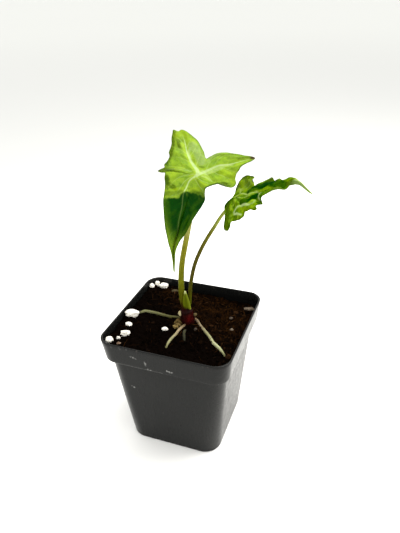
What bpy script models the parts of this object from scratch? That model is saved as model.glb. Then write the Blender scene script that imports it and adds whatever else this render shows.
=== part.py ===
"""Potted alocasia: a small two-leaved plant in a square nursery pot.

Sizes and places are in millimetres and become metres as each mesh is made. The
pot stands on z = 0 with its axis on Z, and its front is towards -Y. The upright
leaf faces the front, and the arching leaf reaches out to +X.
"""

import math

import bmesh
import bpy
import numpy as np
from mathutils import Vector, noise

MM = 0.001

# Pot: a tapered square with a rim band round its top
POT_TOP_HALF = 38.0
POT_HEIGHT = 76.5
POT_BASE_HALF = 28.3
POT_BODY_HALF = 34.3
BAND_FOOT_HALF = 36.7
BAND_HEIGHT = 13.4
WALL = 1.0
FLOOR = 1.3
CORNER_TOP = 8.6
CORNER_BASE = 10.1
RIM_ROUND = 0.5
FOOT_ROUND = 1.1
ROUND_MIDDLE = 1.0 - math.sqrt(0.5)
CORNER_STEPS = 6
BAND_FOOT = POT_HEIGHT - BAND_HEIGHT
LEDGE = BAND_FOOT + WALL
DRAIN_RADIUS = 3.0
DRAIN_PLACE = 16.5
DRAIN_SIDES = 20

# Soil: its level at the middle, its fall to the right and the back, its mounds as (x, y,
# rise, spread), its clods as (rise, size, shift), and the lumps that only its surface has
GAP = 0.3
SOIL_LEVEL = 70.2
FALL_RIGHT = 0.055
FALL_BACK = 0.02
MOUNDS = ((-35.0, -3.0, 1.6, 9.0), (-34.0, 32.0, 1.4, 11.0))
CLODS = ((0.4, 4.1, 0.7), (0.22, 1.9, 2.9))
LUMPS = ((0.55, 1.38, 1.7),)
WARP = 1.4
SOIL_ROUNDS = 15
SOIL_SIDE = 20

# Crown: where the stems leave the soil, and the level way across the plant
CROWN = Vector((0.8, 4.2, 0.0))
ACROSS = Vector((0.923, 0.384, 0.0))
FRONT = Vector((0.384, -0.923, 0.0))
CORM_TOP = 79.4
CORM_PROFILE = ((0.0, 79.4), (2.7, 79.4), (3.3, 78.6), (3.9, 76.0), (4.1, 73.0),
                (4.0, 70.0), (3.4, 66.6), (2.0, 64.3), (0.0, 63.7))
CORM_LEAN = math.radians(-6.0)
CORM_ACROSS = 0.4
CORM_SIDES = 16
SEAT = 0.35

# Blades: thickness, the reach of the flat over the stem's end, rings from there to the
# margin, and for each leaf its stem's end, its midrib's way and its facing
BLADE = 0.8
FLAT_SEAT = 4.0
BLADE_RINGS = 9
UPRIGHT_SEAT = Vector((6.0, 9.5, 159.5))
UPRIGHT_WAY = Vector((-0.32, -0.75, -0.57))
UPRIGHT_FACE = Vector((0.27, -0.65, 0.71))
ARCHING_SEAT = Vector((26.1, 12.7, 148.9))
ARCHING_WAY = Vector((0.86, -0.26, 0.44))
ARCHING_FACE = Vector((-0.46, -0.04, 0.89))

# Margins, from the drip tip round the blade: degrees from the midrib, reach, lift
UPRIGHT_MARGIN = (
    ("drip tip", 18.5, 47.0, -26.5),
    ("tail right", 19.5, 40.5, -17.0),
    ("front right", 21.0, 31.5, -9.0),
    ("front right swell", 26.5, 26.0, -4.5),
    ("shoulder foot", 44.0, 17.5, 1.0),
    ("shoulder", 52.0, 15.0, 2.5),
    ("notch", 57.5, 11.5, 5.0),
    ("notch rise", 80.0, 12.5, 6.5),
    ("right lobe foot", 96.0, 16.5, 4.5),
    ("right lobe corner", 100.5, 20.0, 2.5),
    ("right lobe front", 114.0, 21.0, 1.5),
    ("right lobe tooth", 131.0, 23.0, 2.0),
    ("right lobe neck", 135.0, 26.0, 3.0),
    ("right lobe tip", 140.5, 33.0, 1.5),
    ("right lobe back", 155.0, 27.0, -2.5),
    ("right lobe bow", 169.5, 23.0, -5.5),
    ("right of sinus", 179.5, 19.0, -6.0),
    ("sinus", 184.0, 12.5, -3.5),
    ("left of sinus", 205.0, 18.5, -4.5),
    ("left lobe bow", 213.0, 23.5, -5.0),
    ("left lobe back", 221.5, 27.0, -4.0),
    ("left lobe tip", 231.5, 31.0, -3.0),
    ("left lobe corner", 237.0, 30.0, -1.5),
    ("left lobe front", 249.0, 22.0, -1.5),
    ("left side", 267.0, 17.5, -1.5),
    ("spike back", 282.0, 17.5, -1.5),
    ("spike", 288.0, 21.0, -6.0),
    ("spike front", 297.0, 16.5, -1.5),
    ("left waist", 315.0, 16.5, -1.5),
    ("front left swell", 340.0, 20.5, -1.5),
    ("front left", 351.0, 25.0, -2.5),
    ("front left fall", 364.0, 32.0, -7.5),
    ("front left foot", 373.0, 38.5, -14.5),
    ("tail left", 377.0, 42.0, -19.0),
)
ARCHING_MARGIN = (
    ("drip tip", -4.4, 45.5, -9.0),
    ("tail near", -5.2, 42.8, -5.0),
    ("tip near", -5.6, 40.2, -1.2),
    ("front near", -5.9, 36.5, 0.2),
    ("front near dip", -6.8, 33.5, -1.2),
    ("near rise", -11.0, 30.0, -0.3),
    ("near side", -18.0, 27.0, 0.0),
    ("first tooth back", -24.0, 24.0, -2.0),
    ("first tooth", -26.5, 24.5, -4.0),
    ("tooth gap", -33.5, 22.5, -3.0),
    ("second tooth", -36.5, 26.5, -4.3),
    ("near waist", -42.0, 21.3, -4.0),
    ("near lobe front", -51.0, 19.6, -5.0),
    ("near lobe side", -65.0, 18.8, -7.0),
    ("near lobe foot", -77.0, 17.6, -7.0),
    ("near lobe tip", -101.0, 16.5, -10.3),
    ("near lobe back", -125.0, 9.5, -5.7),
    ("near of sinus", -145.0, 6.7, -1.4),
    ("sinus", -200.0, 5.2, -1.0),
    ("far of sinus", -247.0, 9.8, 1.0),
    ("far lobe tip", -266.0, 15.8, 4.7),
    ("far lobe front", -293.0, 14.5, 3.4),
    ("far notch", -314.0, 11.5, 0.0),
    ("far side", -327.0, 17.7, 0.9),
    ("third tooth", -337.5, 23.0, 0.9),
    ("third gap", -343.5, 25.0, -1.1),
    ("fourth tooth", -345.5, 27.2, 0.3),
    ("fourth gap", -352.0, 29.7, -1.5),
    ("front far", -353.6, 34.2, -0.2),
    ("tip far", -359.0, 37.1, 0.0),
    ("tail far", -363.4, 42.3, -4.4),
)

# Folds of each blade: way over it as (degrees, reach), height, half width. A fold starts
# at a part of its full height and dies out at its end.
FOLD_START = 0.08
FOLD_END = 0.98
UPRIGHT_FOLDS = (
    (((0.0, 0.0), (2.0, 12.0), (8.0, 24.0), (15.0, 36.0), (18.0, 44.0)), -1.3, 3.2),
    (((0.0, 0.0), (225.0, 12.0), (231.0, 28.0)), -1.5, 4.0),
    (((0.0, 0.0), (137.0, 14.0), (140.0, 30.0)), -1.2, 3.5),
)
ARCHING_FOLDS = (
    (((0.0, 0.0), (-1.0, 14.0), (-3.0, 26.0), (-4.0, 38.0)), -1.0, 2.6),
    (((-75.0, 9.0), (-40.0, 13.5), (-18.0, 19.0)), 2.2, 3.0),
)

# Droop of each blade's front past a reach along the midrib: reach, fall per millimetre
UPRIGHT_DROOP = (0.0, 0.0)
ARCHING_DROOP = (38.7, 1.35)

# Stems: centre points with their radius, from the crown up
UPRIGHT_STEM = (
    (-1.4, 3.3, CORM_TOP + GAP, 1.3),
    (-2.0, 3.1, 84.0, 1.55),
    (-2.4, 3.0, 93.5, 1.6),
    (-1.6, 3.4, 108.6, 1.5),
    (1.7, 4.6, 127.2, 1.4),
    (4.3, 7.6, 144.0, 1.3),
    (4.9, 10.6, 153.5, 1.25),
    (5.2, 11.6, 157.0, 1.2),
)
ARCHING_STEM = (
    (1.5, 4.5, CORM_TOP + GAP, 0.85),
    (2.1, 4.7, 87.0, 1.0),
    (2.7, 4.9, 94.0, 1.0),
    (5.9, 6.1, 108.9, 0.95),
    (9.9, 7.6, 120.8, 0.9),
    (14.9, 10.9, 131.4, 0.8),
    (19.3, 13.6, 139.0, 0.75),
    (24.0, 14.2, 142.8, 0.7),
    (27.0, 13.4, 145.6, 0.7),
)

# Roots: centre points as x, y, rise over the soil and radius
ROOTS = {
    "root_left": ((-1.5, 4.4, 1.0, 0.7), (-6.4, 4.4, 0.7, 0.7), (-11.0, 4.0, 0.5, 0.75),
                  (-17.6, 4.0, 0.5, 0.85), (-24.0, 3.6, 0.7, 0.95), (-27.2, 2.6, 0.6, 0.95),
                  (-28.8, 1.2, 0.0, 0.9)),
    "root_front_left": ((0.4, 2.0, 0.2, 0.8), (-0.3, -2.0, 0.4, 0.8), (-0.9, -5.6, 0.4, 0.8),
                        (-1.6, -11.4, 0.3, 0.8), (-2.2, -17.2, 0.3, 0.7),
                        (-2.2, -21.5, 0.2, 0.6), (-2.3, -25.0, -1.6, 0.45)),
    "root_middle": ((1.6, 1.0, -2.0, 0.8), (1.8, -4.0, -0.6, 0.8), (2.4, -7.4, 0.1, 0.8),
                    (4.2, -11.8, 0.0, 0.75), (5.6, -15.0, -1.6, 0.5)),
    "root_right": ((2.0, 5.8, 1.4, 0.8), (4.6, 6.6, 0.8, 0.85), (9.5, 2.0, 0.4, 0.85),
                   (14.2, -2.6, 0.4, 0.85), (18.2, -7.0, 0.4, 0.85), (21.0, -10.0, 0.5, 0.95),
                   (25.0, -13.2, 0.4, 0.9), (29.4, -17.4, 0.2, 0.65), (31.4, -19.4, -1.4, 0.45)),
}

# Grains: x, y, height of the centre over the soil, length, width, height, turn in
# degrees. Noise of the listed depth and scale dents them, and a large one is finer.
DENT = 0.16
BARK_DENT = 0.3
DENT_SCALE = 1.6
LARGE_GRAIN = 6.0
PERLITE = (
    (-34.5, 30.0, 0.6, 3.4, 3.2, 2.8, 10.0),
    (-32.0, 33.4, 0.7, 2.4, 2.6, 3.0, 60.0),
    (-27.4, 33.4, 0.8, 4.6, 3.6, 3.4, 5.0),
    (-31.8, -5.0, 1.2, 8.0, 5.4, 4.4, 15.0),
    (-30.3, -12.6, 0.4, 4.0, 3.2, 2.8, 10.0),
    (-28.2, -21.4, 0.7, 6.4, 4.0, 3.6, 25.0),
    (-33.4, -30.8, 0.6, 4.8, 4.2, 3.6, -10.0),
    (-29.8, -26.6, 0.3, 2.3, 2.0, 1.8, 0.0),
    (-27.4, -30.8, 0.2, 2.6, 2.2, 2.0, 30.0),
    (-8.6, -9.2, 0.6, 4.6, 3.4, 3.0, 5.0),
)
GRIT = (
    (7.6, -2.4, 0.3, 1.9, 1.7, 2.2, 0.0),
    (27.2, 6.0, 0.3, 2.3, 2.0, 1.8, 0.0),
    (23.4, 17.0, 0.3, 2.3, 2.0, 1.8, 40.0),
)
BARK = (
    (31.0, 30.6, 0.4, 7.0, 3.2, 2.2, 12.0),
    (-19.2, 32.0, 0.3, 4.2, 2.6, 1.8, 30.0),
)

# Scraps on the corm: place across, towards the front, height, and half sizes
SCRAPS = {
    "side_bud": (-4.4, 0.9, 76.4, (0.95, 1.0, 1.5)),
    "husk": (-5.4, 1.6, 69.6, (2.0, 1.6, 1.9)),
    "knob": (4.0, 0.8, 75.2, (1.2, 1.0, 1.1)),
}

# Sheath: a flap before the stems, its foot clear of the leant corm. Its cuts are given as
# (share of height, left edge, right edge, reach, bulge), round a middle across.
SHEATH_FOOT = CORM_TOP + GAP + 0.2
SHEATH_HEIGHT = 11.6
SHEATH_THICK = 0.6
SHEATH_MIDDLE = -0.8
SHEATH_GRID = (8, 10)
SHEATH_CUTS = (
    (0.0, -2.9, 1.7, 3.4, 2.5),
    (0.35, -2.9, 0.9, 3.8, 2.55),
    (0.7, -2.6, -0.2, 4.2, 2.4),
    (1.0, -1.75, -1.15, 4.4, 1.7),
)

COLOURS = {
    "pot": ((0.045, 0.045, 0.042), 0.42),
    "soil": ((0.018, 0.011, 0.007), 0.95),
    "corm": ((0.07, 0.01, 0.01), 0.6),
    "petiole_upright": ((0.22, 0.25, 0.03), 0.4),
    "petiole_arching": ((0.12, 0.12, 0.02), 0.4),
    "sheath": ((0.27, 0.38, 0.03), 0.4),
    "leaf": ((0.16, 0.36, 0.02), 0.35),
    "root": ((0.45, 0.43, 0.17), 0.6),
    "side_bud": ((0.6, 0.5, 0.3), 0.7),
    "husk": ((0.25, 0.16, 0.07), 0.8),
    "perlite": ((0.85, 0.83, 0.76), 0.9),
    "grit": ((0.3, 0.22, 0.16), 0.9),
    "bark": ((0.16, 0.12, 0.07), 0.9),
}


def clear_scene():
    """Remove what the file starts with."""
    for old in list(bpy.data.objects):
        bpy.data.objects.remove(old, do_unlink=True)


def new_collection(name):
    """A collection linked to the scene."""
    collection = bpy.data.collections.new(name)
    bpy.context.scene.collection.children.link(collection)
    return collection


def material(name):
    """A plain finish in the colour and roughness listed for it."""
    colour, roughness = COLOURS[name]
    made = bpy.data.materials.get(name)
    if made is None:
        made = bpy.data.materials.new(name)
        made.use_nodes = True
        shader = made.node_tree.nodes["Principled BSDF"]
        shader.inputs["Base Color"].default_value = (*colour, 1.0)
        shader.inputs["Roughness"].default_value = roughness
        shader.inputs["Metallic"].default_value = 0.0
    return made


def add_object(name, data, collection, finish=None, smooth=True):
    """Link data as an object, with its finish and shading."""
    made = bpy.data.objects.new(name, data)
    collection.objects.link(made)
    if finish is not None:
        data.materials.append(material(finish))
    if smooth:
        data.shade_smooth()
    return made


def to_mesh(shape, name):
    """The shape's mesh, with its normals outward."""
    shape.normal_update()
    bmesh.ops.recalc_face_normals(shape, faces=shape.faces)
    mesh = bpy.data.meshes.new(name)
    shape.to_mesh(mesh)
    shape.free()
    return mesh


def applied(item):
    """Replace a curve, or an object with modifiers, by one welded mesh object."""
    evaluated = item.evaluated_get(bpy.context.evaluated_depsgraph_get())
    mesh = bpy.data.meshes.new_from_object(evaluated)
    shape = bmesh.new()
    shape.from_mesh(mesh)
    bmesh.ops.remove_doubles(shape, verts=shape.verts, dist=0.00001)
    bmesh.ops.recalc_face_normals(shape, faces=shape.faces)
    shape.to_mesh(mesh)
    shape.free()
    mesh.shade_smooth()
    made = bpy.data.objects.new("made", mesh)
    made.matrix_world = item.matrix_world.copy()
    item.users_collection[0].objects.link(made)
    name = item.name
    bpy.data.objects.remove(item, do_unlink=True)
    made.name = name
    return made


def grown_copy(item, collection, grow=SEAT):
    """A cutter: the item with its surface moved out by grow."""
    shape = bmesh.new()
    shape.from_mesh(item.data)
    shape.transform(item.matrix_basis)
    shape.normal_update()
    for vert in shape.verts:
        vert.co += vert.normal * grow * MM
    mesh = bpy.data.meshes.new(item.name + "_room")
    shape.to_mesh(mesh)
    shape.free()
    cutter = add_object(item.name + "_room", mesh, collection, smooth=False)
    cutter.hide_render = True
    cutter.display_type = "WIRE"
    return cutter


def cut(item, cutters):
    """Take every cutter of the collection out of the item."""
    boolean = item.modifiers.new("room", "BOOLEAN")
    boolean.operation = "DIFFERENCE"
    boolean.solver = "EXACT"
    boolean.operand_type = "COLLECTION"
    boolean.collection = cutters


def smooth_path(points, per, closed):
    """Points on the centripetal curve through the given ones, per of them on each span."""
    given = np.asarray(points, float)
    count = len(given)
    if closed:
        ring = np.vstack([given[-1:], given, given[:2]])
        spans = count
    else:
        ring = np.vstack([2 * given[0] - given[1], given, 2 * given[-1] - given[-2]])
        spans = count - 1
    found = []
    for index in range(spans):
        p0, p1, p2, p3 = ring[index:index + 4]
        t1 = np.linalg.norm(p1 - p0) ** 0.5
        t2 = t1 + np.linalg.norm(p2 - p1) ** 0.5
        t3 = t2 + np.linalg.norm(p3 - p2) ** 0.5
        for t in np.linspace(t1, t2, per, endpoint=False):
            a1 = (t1 - t) / t1 * p0 + t / t1 * p1
            a2 = (t2 - t) / (t2 - t1) * p1 + (t - t1) / (t2 - t1) * p2
            a3 = (t3 - t) / (t3 - t2) * p2 + (t - t2) / (t3 - t2) * p3
            b1 = (t2 - t) / t2 * a1 + t / t2 * a2
            b2 = (t3 - t) / (t3 - t1) * a2 + (t - t1) / (t3 - t1) * a3
            found.append((t2 - t) / (t2 - t1) * b1 + (t - t1) / (t2 - t1) * b2)
    if not closed:
        found.append(given[-1])
    return np.array(found)


def tube(name, points, collection, finish, per):
    """A round stem through points of x, y, z and radius, made a mesh."""
    path = smooth_path(points, per, closed=False)
    curve = bpy.data.curves.new(name, "CURVE")
    curve.dimensions = "3D"
    curve.bevel_depth = MM
    curve.bevel_resolution = 2
    curve.use_fill_caps = True
    spline = curve.splines.new("POLY")
    spline.points.add(len(path) - 1)
    for point, (x, y, z, radius) in zip(spline.points, path):
        point.co = (x * MM, y * MM, z * MM, 1.0)
        point.radius = radius
    made = bpy.data.objects.new(name, curve)
    collection.objects.link(made)
    curve.materials.append(material(finish))
    return applied(made)


def rounded_square(half, radius, arc, side):
    """Corner arcs of arc steps, with side more points along each straight."""
    centre = half - radius
    points = []
    for corner in range(4):
        start = corner * math.pi / 2
        middle = start + math.pi / 4
        cx = math.copysign(centre, math.cos(middle))
        cy = math.copysign(centre, math.sin(middle))
        for step in range(arc + 1):
            angle = start + step / arc * math.pi / 2
            points.append((cx + radius * math.cos(angle), cy + radius * math.sin(angle)))
        turn = start + math.pi / 2
        end = points[-1]
        for step in range(1, side + 1):
            along = 2 * centre * step / (side + 1)
            points.append((end[0] - along * math.sin(turn), end[1] + along * math.cos(turn)))
    return points


def loft(rings):
    """A closed solid through rings of equal counts, capped at its first and last."""
    shape = bmesh.new()
    loops = [[shape.verts.new((x * MM, y * MM, z * MM)) for x, y, z in ring] for ring in rings]
    for lower, upper in zip(loops[:-1], loops[1:]):
        for index in range(len(lower)):
            after = (index + 1) % len(lower)
            shape.faces.new((lower[index], lower[after], upper[after], upper[index]))
    shape.faces.new(list(reversed(loops[0])))
    shape.faces.new(loops[-1])
    return shape


def outer_corner(z):
    """Corner radius of the pot's outside at height z."""
    return CORNER_BASE + (CORNER_TOP - CORNER_BASE) * z / POT_HEIGHT


def body_inside(z):
    """Half width of the pot's inside at height z under the band's ledge."""
    foot, top = POT_BASE_HALF - WALL, POT_BODY_HALF - WALL
    return foot + (top - foot) * (z - FLOOR) / (LEDGE - FLOOR)


def band_inside(z):
    """Half width of the pot's inside at height z over the band's ledge."""
    foot, top = BAND_FOOT_HALF - WALL, POT_TOP_HALF - WALL
    return foot + (top - foot) * (z - LEDGE) / (POT_HEIGHT - LEDGE)


def make_pot(parts, cutters):
    """The thin-walled pot: up the outside, over the rim, and down the inside."""
    outside = (
        (POT_BASE_HALF - FOOT_ROUND, 0.0),
        (POT_BASE_HALF - ROUND_MIDDLE * FOOT_ROUND, ROUND_MIDDLE * FOOT_ROUND),
        (POT_BASE_HALF, FOOT_ROUND),
        (POT_BODY_HALF, BAND_FOOT),
        (BAND_FOOT_HALF, BAND_FOOT),
        (POT_TOP_HALF, POT_HEIGHT - RIM_ROUND),
        (POT_TOP_HALF - ROUND_MIDDLE * RIM_ROUND, POT_HEIGHT),
    )
    inside = (
        (band_inside(POT_HEIGHT), POT_HEIGHT),
        (band_inside(LEDGE), LEDGE),
        (body_inside(LEDGE), LEDGE),
        (body_inside(FLOOR), FLOOR),
    )
    rings = []
    for half, z in outside:
        corner = outer_corner(z) - (POT_BASE_HALF - half if z < FOOT_ROUND else 0.0)
        rings.append([(x, y, z) for x, y in rounded_square(half, corner, CORNER_STEPS, 0)])
    for half, z in inside:
        corner = outer_corner(z) - WALL
        rings.append([(x, y, z) for x, y in rounded_square(half, corner, CORNER_STEPS, 0)])
    pot = add_object("pot", to_mesh(loft(rings), "pot"), parts, "pot", smooth=False)
    through = 4 * FLOOR
    for x in (-DRAIN_PLACE, DRAIN_PLACE):
        for y in (-DRAIN_PLACE, DRAIN_PLACE):
            shape = bmesh.new()
            bmesh.ops.create_cone(shape, cap_ends=True, segments=DRAIN_SIDES,
                                  radius1=DRAIN_RADIUS * MM, radius2=DRAIN_RADIUS * MM,
                                  depth=through * MM)
            drain = add_object("drain", to_mesh(shape, "drain"), cutters, smooth=False)
            drain.location = (x * MM, y * MM, 0.0)
            drain.hide_render = True
            drain.display_type = "WIRE"
    cut(pot, cutters)
    return pot


def crossed_waves(x, y, waves):
    """Height of lumps in rows both ways, where one wave bends the other."""
    height = 0.0
    for rise, size, shift in waves:
        across = math.sin(x / size + shift + WARP * math.sin(y / size + shift))
        along = math.sin(y / size - shift + WARP * math.sin(x / size - 2 * shift))
        height += rise * across * along
    return height


def soil_height(x, y):
    """Height that roots and grains are laid at: the soil's slope, its mounds and its clods."""
    height = SOIL_LEVEL - FALL_RIGHT * x - FALL_BACK * y
    for mx, my, rise, spread in MOUNDS:
        height += rise * math.exp(-((x - mx) ** 2 + (y - my) ** 2) / spread ** 2)
    return height + crossed_waves(x, y, CLODS)


def make_soil(parts):
    """Soil that fills the pot, clear of its wall, floor and ledge."""
    arc, side, rounds = 3, SOIL_SIDE, SOIL_ROUNDS
    rings = []
    for half, z in ((body_inside(FLOOR) - GAP, FLOOR + GAP),
                    (body_inside(LEDGE) - GAP, LEDGE + GAP),
                    (band_inside(LEDGE) - GAP, LEDGE + GAP)):
        corner = outer_corner(z) - WALL - GAP
        rings.append([(x, y, z) for x, y in rounded_square(half, corner, arc, side)])
    half = band_inside(SOIL_LEVEL) - GAP
    edge = rounded_square(half, outer_corner(SOIL_LEVEL) - WALL - GAP, arc, side)
    for step in range(rounds):
        share = 1.0 - step / rounds
        ring = []
        for x, y in edge:
            z = soil_height(x * share, y * share) + crossed_waves(x * share, y * share, LUMPS)
            spread = (band_inside(z) - GAP) / half if step == 0 else 1.0
            ring.append((x * share * spread, y * share * spread, z))
        rings.append(ring)
    shape = loft(rings)
    bmesh.ops.triangulate(shape, faces=shape.faces)
    return add_object("soil", to_mesh(shape, "soil"), parts, "soil", smooth=False)


def make_corm(parts):
    """The bulb, turned from its profile and leant a little to the left."""
    mesh = bpy.data.meshes.new("corm")
    points = [(radius * MM, 0.0, (z - CORM_PROFILE[-1][1]) * MM) for radius, z in CORM_PROFILE]
    mesh.from_pydata(points, [(i, i + 1) for i in range(len(points) - 1)], [])
    corm = add_object("corm", mesh, parts, "corm")
    screw = corm.modifiers.new("turn", "SCREW")
    screw.steps = CORM_SIDES
    screw.render_steps = CORM_SIDES
    screw.use_merge_vertices = True
    screw.merge_threshold = 0.00001
    foot = CROWN + ACROSS * CORM_ACROSS
    corm.location = (foot.x * MM, foot.y * MM, CORM_PROFILE[-1][1] * MM)
    corm.rotation_mode = "AXIS_ANGLE"
    corm.rotation_axis_angle = (CORM_LEAN, -FRONT.x, -FRONT.y, 0.0)
    bpy.context.view_layer.update()
    return applied(corm)


def make_scrap(name, parts, finish):
    """A small rounded scrap at its place on the corm."""
    across, forward, z, sizes = SCRAPS[name]
    centre = CROWN + ACROSS * across + FRONT * forward
    shape = bmesh.new()
    bmesh.ops.create_icosphere(shape, subdivisions=2, radius=MM)
    for vert in shape.verts:
        x, y, up = (vert.co[i] * sizes[i] for i in range(3))
        vert.co = ACROSS * x + FRONT * y + Vector((centre.x * MM, centre.y * MM, z * MM + up))
    return add_object(name, to_mesh(shape, name), parts, finish)


def make_grain(name, grain, parts, finish, rough=DENT):
    """A lump of the listed size, dented by noise, part sunk in the soil."""
    x, y, rise, length, width, height, turn = grain
    fineness = 3 if length > LARGE_GRAIN else 2
    shape = bmesh.new()
    bmesh.ops.create_icosphere(shape, subdivisions=fineness, radius=1.0)
    turned = math.radians(turn)
    for vert in shape.verts:
        dent = 1.0 + rough * noise.noise(vert.co * DENT_SCALE + Vector((x, y, 0.0)))
        ex, ey, ez = (vert.co[i] * dent * (length, width, height)[i] / 2 for i in range(3))
        vert.co.x = (x + ex * math.cos(turned) - ey * math.sin(turned)) * MM
        vert.co.y = (y + ex * math.sin(turned) + ey * math.cos(turned)) * MM
        vert.co.z = (soil_height(x, y) + rise + ez) * MM
    return add_object(name, to_mesh(shape, name), parts, finish)


def grid_mesh(name, columns, rows, place):
    """A grid whose vertices go where place puts their two shares, seams welded."""
    shape = bmesh.new()
    bmesh.ops.create_grid(shape, x_segments=columns, y_segments=rows, size=1.0)
    shares = np.array([vert.co[:2] for vert in shape.verts]) / 2 + 0.5
    for vert, point in zip(shape.verts, place(shares[:, 0], shares[:, 1])):
        vert.co = Vector(point) * MM
    bmesh.ops.remove_doubles(shape, verts=shape.verts, dist=0.00001)
    bmesh.ops.triangulate(shape, faces=shape.faces, quad_method="FIXED")
    return to_mesh(shape, name)


def on_plan(points):
    """Polar points (degrees, reach, ...) as level ones (x, y, ...)."""
    given = np.asarray(points, float)
    angle = np.radians(given[:, 0])
    level = np.stack([given[:, 1] * np.cos(angle), given[:, 1] * np.sin(angle)], axis=1)
    return np.hstack([level, given[:, 2:]])


def fold_lift(level, folds):
    """Height that the folds add at level points: a ridge or channel along each way."""
    lift = np.zeros(len(level))
    for way, height, half_width in folds:
        path = on_plan(way)
        nearest = np.full(len(level), 1e9)
        along = np.zeros(len(level))
        runs = np.linalg.norm(np.diff(path, axis=0), axis=1)
        before = np.concatenate([[0.0], np.cumsum(runs)])
        for index, (start, end) in enumerate(zip(path[:-1], path[1:])):
            share = np.clip((level - start) @ (end - start) / runs[index] ** 2, 0.0, 1.0)
            away = np.linalg.norm(level - start - share[:, None] * (end - start), axis=1)
            closer = away < nearest
            nearest[closer] = away[closer]
            along[closer] = ((before[index] + share * runs[index]) / before[-1])[closer]
        fade = np.sqrt(np.sin(np.pi * (FOLD_START + (FOLD_END - FOLD_START) * along)))
        lift += height * np.exp(-(nearest / half_width) ** 2) * fade
    return lift * np.clip(np.linalg.norm(level, axis=1) / FLAT_SEAT - 0.5, 0.0, 1.0)


def droop_lift(ahead, droop):
    """Height lost at a way ahead along the midrib: level, then a steady fall."""
    start, fall = droop
    past = ahead - start
    return -fall * (np.sqrt(past ** 2 + 1.0) + past) / 2


def make_leaf(name, seat, way, face, margin, folds, droop, parts):
    """A blade spread like a fan from its stem's end out to its margin."""
    outline = smooth_path(on_plan([point[1:] for point in margin]), 2, closed=True)
    spread = len(outline)
    first = way.normalized()
    up = (face - first * face.dot(first)).normalized()
    side = up.cross(first)
    axes = np.array([first, side, up])

    def place(turn, share):
        """Points at the share of the way from the stem's end out to the margin."""
        edge = outline[np.round(turn * spread).astype(int) % spread]
        level = edge[:, :2] * share[:, None]
        lift = (edge[:, 2] - droop_lift(edge[:, 0], droop)) * share ** 2
        lift += droop_lift(level[:, 0], droop) + fold_lift(level, folds)
        return np.array(seat) + np.column_stack([level, lift]) @ axes

    leaf = add_object(name, grid_mesh(name, spread, BLADE_RINGS, place), parts, "leaf")
    solidify = leaf.modifiers.new("thickness", "SOLIDIFY")
    solidify.thickness = BLADE * MM
    solidify.offset = 0.0
    return leaf, up


def make_sheath(parts):
    """The flap that wraps the front of both stems, from the corm to its tip."""
    cuts = np.array(SHEATH_CUTS)

    def place(share, height):
        """Points across the flap, on an ellipse round the two stems."""
        left, right, reach, bulge = (np.interp(height, cuts[:, 0], cuts[:, i])
                                     for i in range(1, 5))
        across = left + (right - left) * share
        forward = bulge * np.sqrt(1.0 - ((across - SHEATH_MIDDLE) / reach) ** 2)
        up = SHEATH_FOOT + height * SHEATH_HEIGHT
        return (np.array(CROWN) + across[:, None] * np.array(ACROSS)
                + forward[:, None] * np.array(FRONT) + up[:, None] * np.array((0.0, 0.0, 1.0)))

    sheath = add_object("sheath", grid_mesh("sheath", *SHEATH_GRID, place), parts, "sheath")
    solidify = sheath.modifiers.new("thickness", "SOLIDIFY")
    solidify.thickness = SHEATH_THICK * MM
    solidify.offset = 0.0
    return sheath


def main():
    """Build every piece, then cut the rooms that the sunk ones need."""
    clear_scene()
    parts = new_collection("potted_alocasia")
    pot_cutters = new_collection("cutters_pot")
    soil_cutters = new_collection("cutters_soil")
    corm_cutters = new_collection("cutters_corm")

    make_pot(parts, pot_cutters)
    soil = make_soil(parts)
    corm = make_corm(parts)
    sunk = [corm]
    grown_copy(corm, corm_cutters)

    scraps = {name: make_scrap(name, parts, "side_bud" if name == "side_bud" else "husk")
              for name in SCRAPS}
    for scrap in scraps.values():
        cut(scrap, corm_cutters)
    sunk.append(scraps["husk"])

    for name, points in ROOTS.items():
        path = [(x, y, soil_height(x, y) + rise, radius) for x, y, rise, radius in points]
        root = tube(name, path, parts, "root", per=3)
        sunk.append(root)
        cut(root, corm_cutters)

    for index, grain in enumerate(PERLITE, start=1):
        sunk.append(make_grain(f"perlite_{index:02d}", grain, parts, "perlite"))
    for index, grain in enumerate(GRIT, start=1):
        sunk.append(make_grain(f"grit_{index}", grain, parts, "grit"))
    for index, grain in enumerate(BARK, start=1):
        sunk.append(make_grain(f"bark_{index}", grain, parts, "bark", rough=BARK_DENT))
    for item in sunk:
        grown_copy(item, soil_cutters)
    cut(soil, soil_cutters)

    for kind, stem, seat, way, face, margin, folds, droop in (
        ("upright", UPRIGHT_STEM, UPRIGHT_SEAT, UPRIGHT_WAY, UPRIGHT_FACE, UPRIGHT_MARGIN,
         UPRIGHT_FOLDS, UPRIGHT_DROOP),
        ("arching", ARCHING_STEM, ARCHING_SEAT, ARCHING_WAY, ARCHING_FACE, ARCHING_MARGIN,
         ARCHING_FOLDS, ARCHING_DROOP),
    ):
        leaf, up = make_leaf(f"leaf_{kind}", seat, way, face, margin, folds, droop, parts)
        end = seat - up * (BLADE / 2 + GAP)
        path = [*stem, (*end, stem[-1][3])]
        tube(f"petiole_{kind}", path, parts, f"petiole_{kind}", per=4)
    make_sheath(parts)


main()
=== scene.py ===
# %% [markdown]
# # A small potted alocasia
#
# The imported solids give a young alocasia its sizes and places: a square nursery pot, the soil, a corm with
# its roots, two stems and two arrowhead leaves. This lesson dresses them. Every surface is worked out with
# numpy from a short formula, and every finish is a node material, so nothing is read from a picture.

# %% Load the frame
import math

import bpy
import numpy as np
from mathutils import Matrix, Vector


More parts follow.
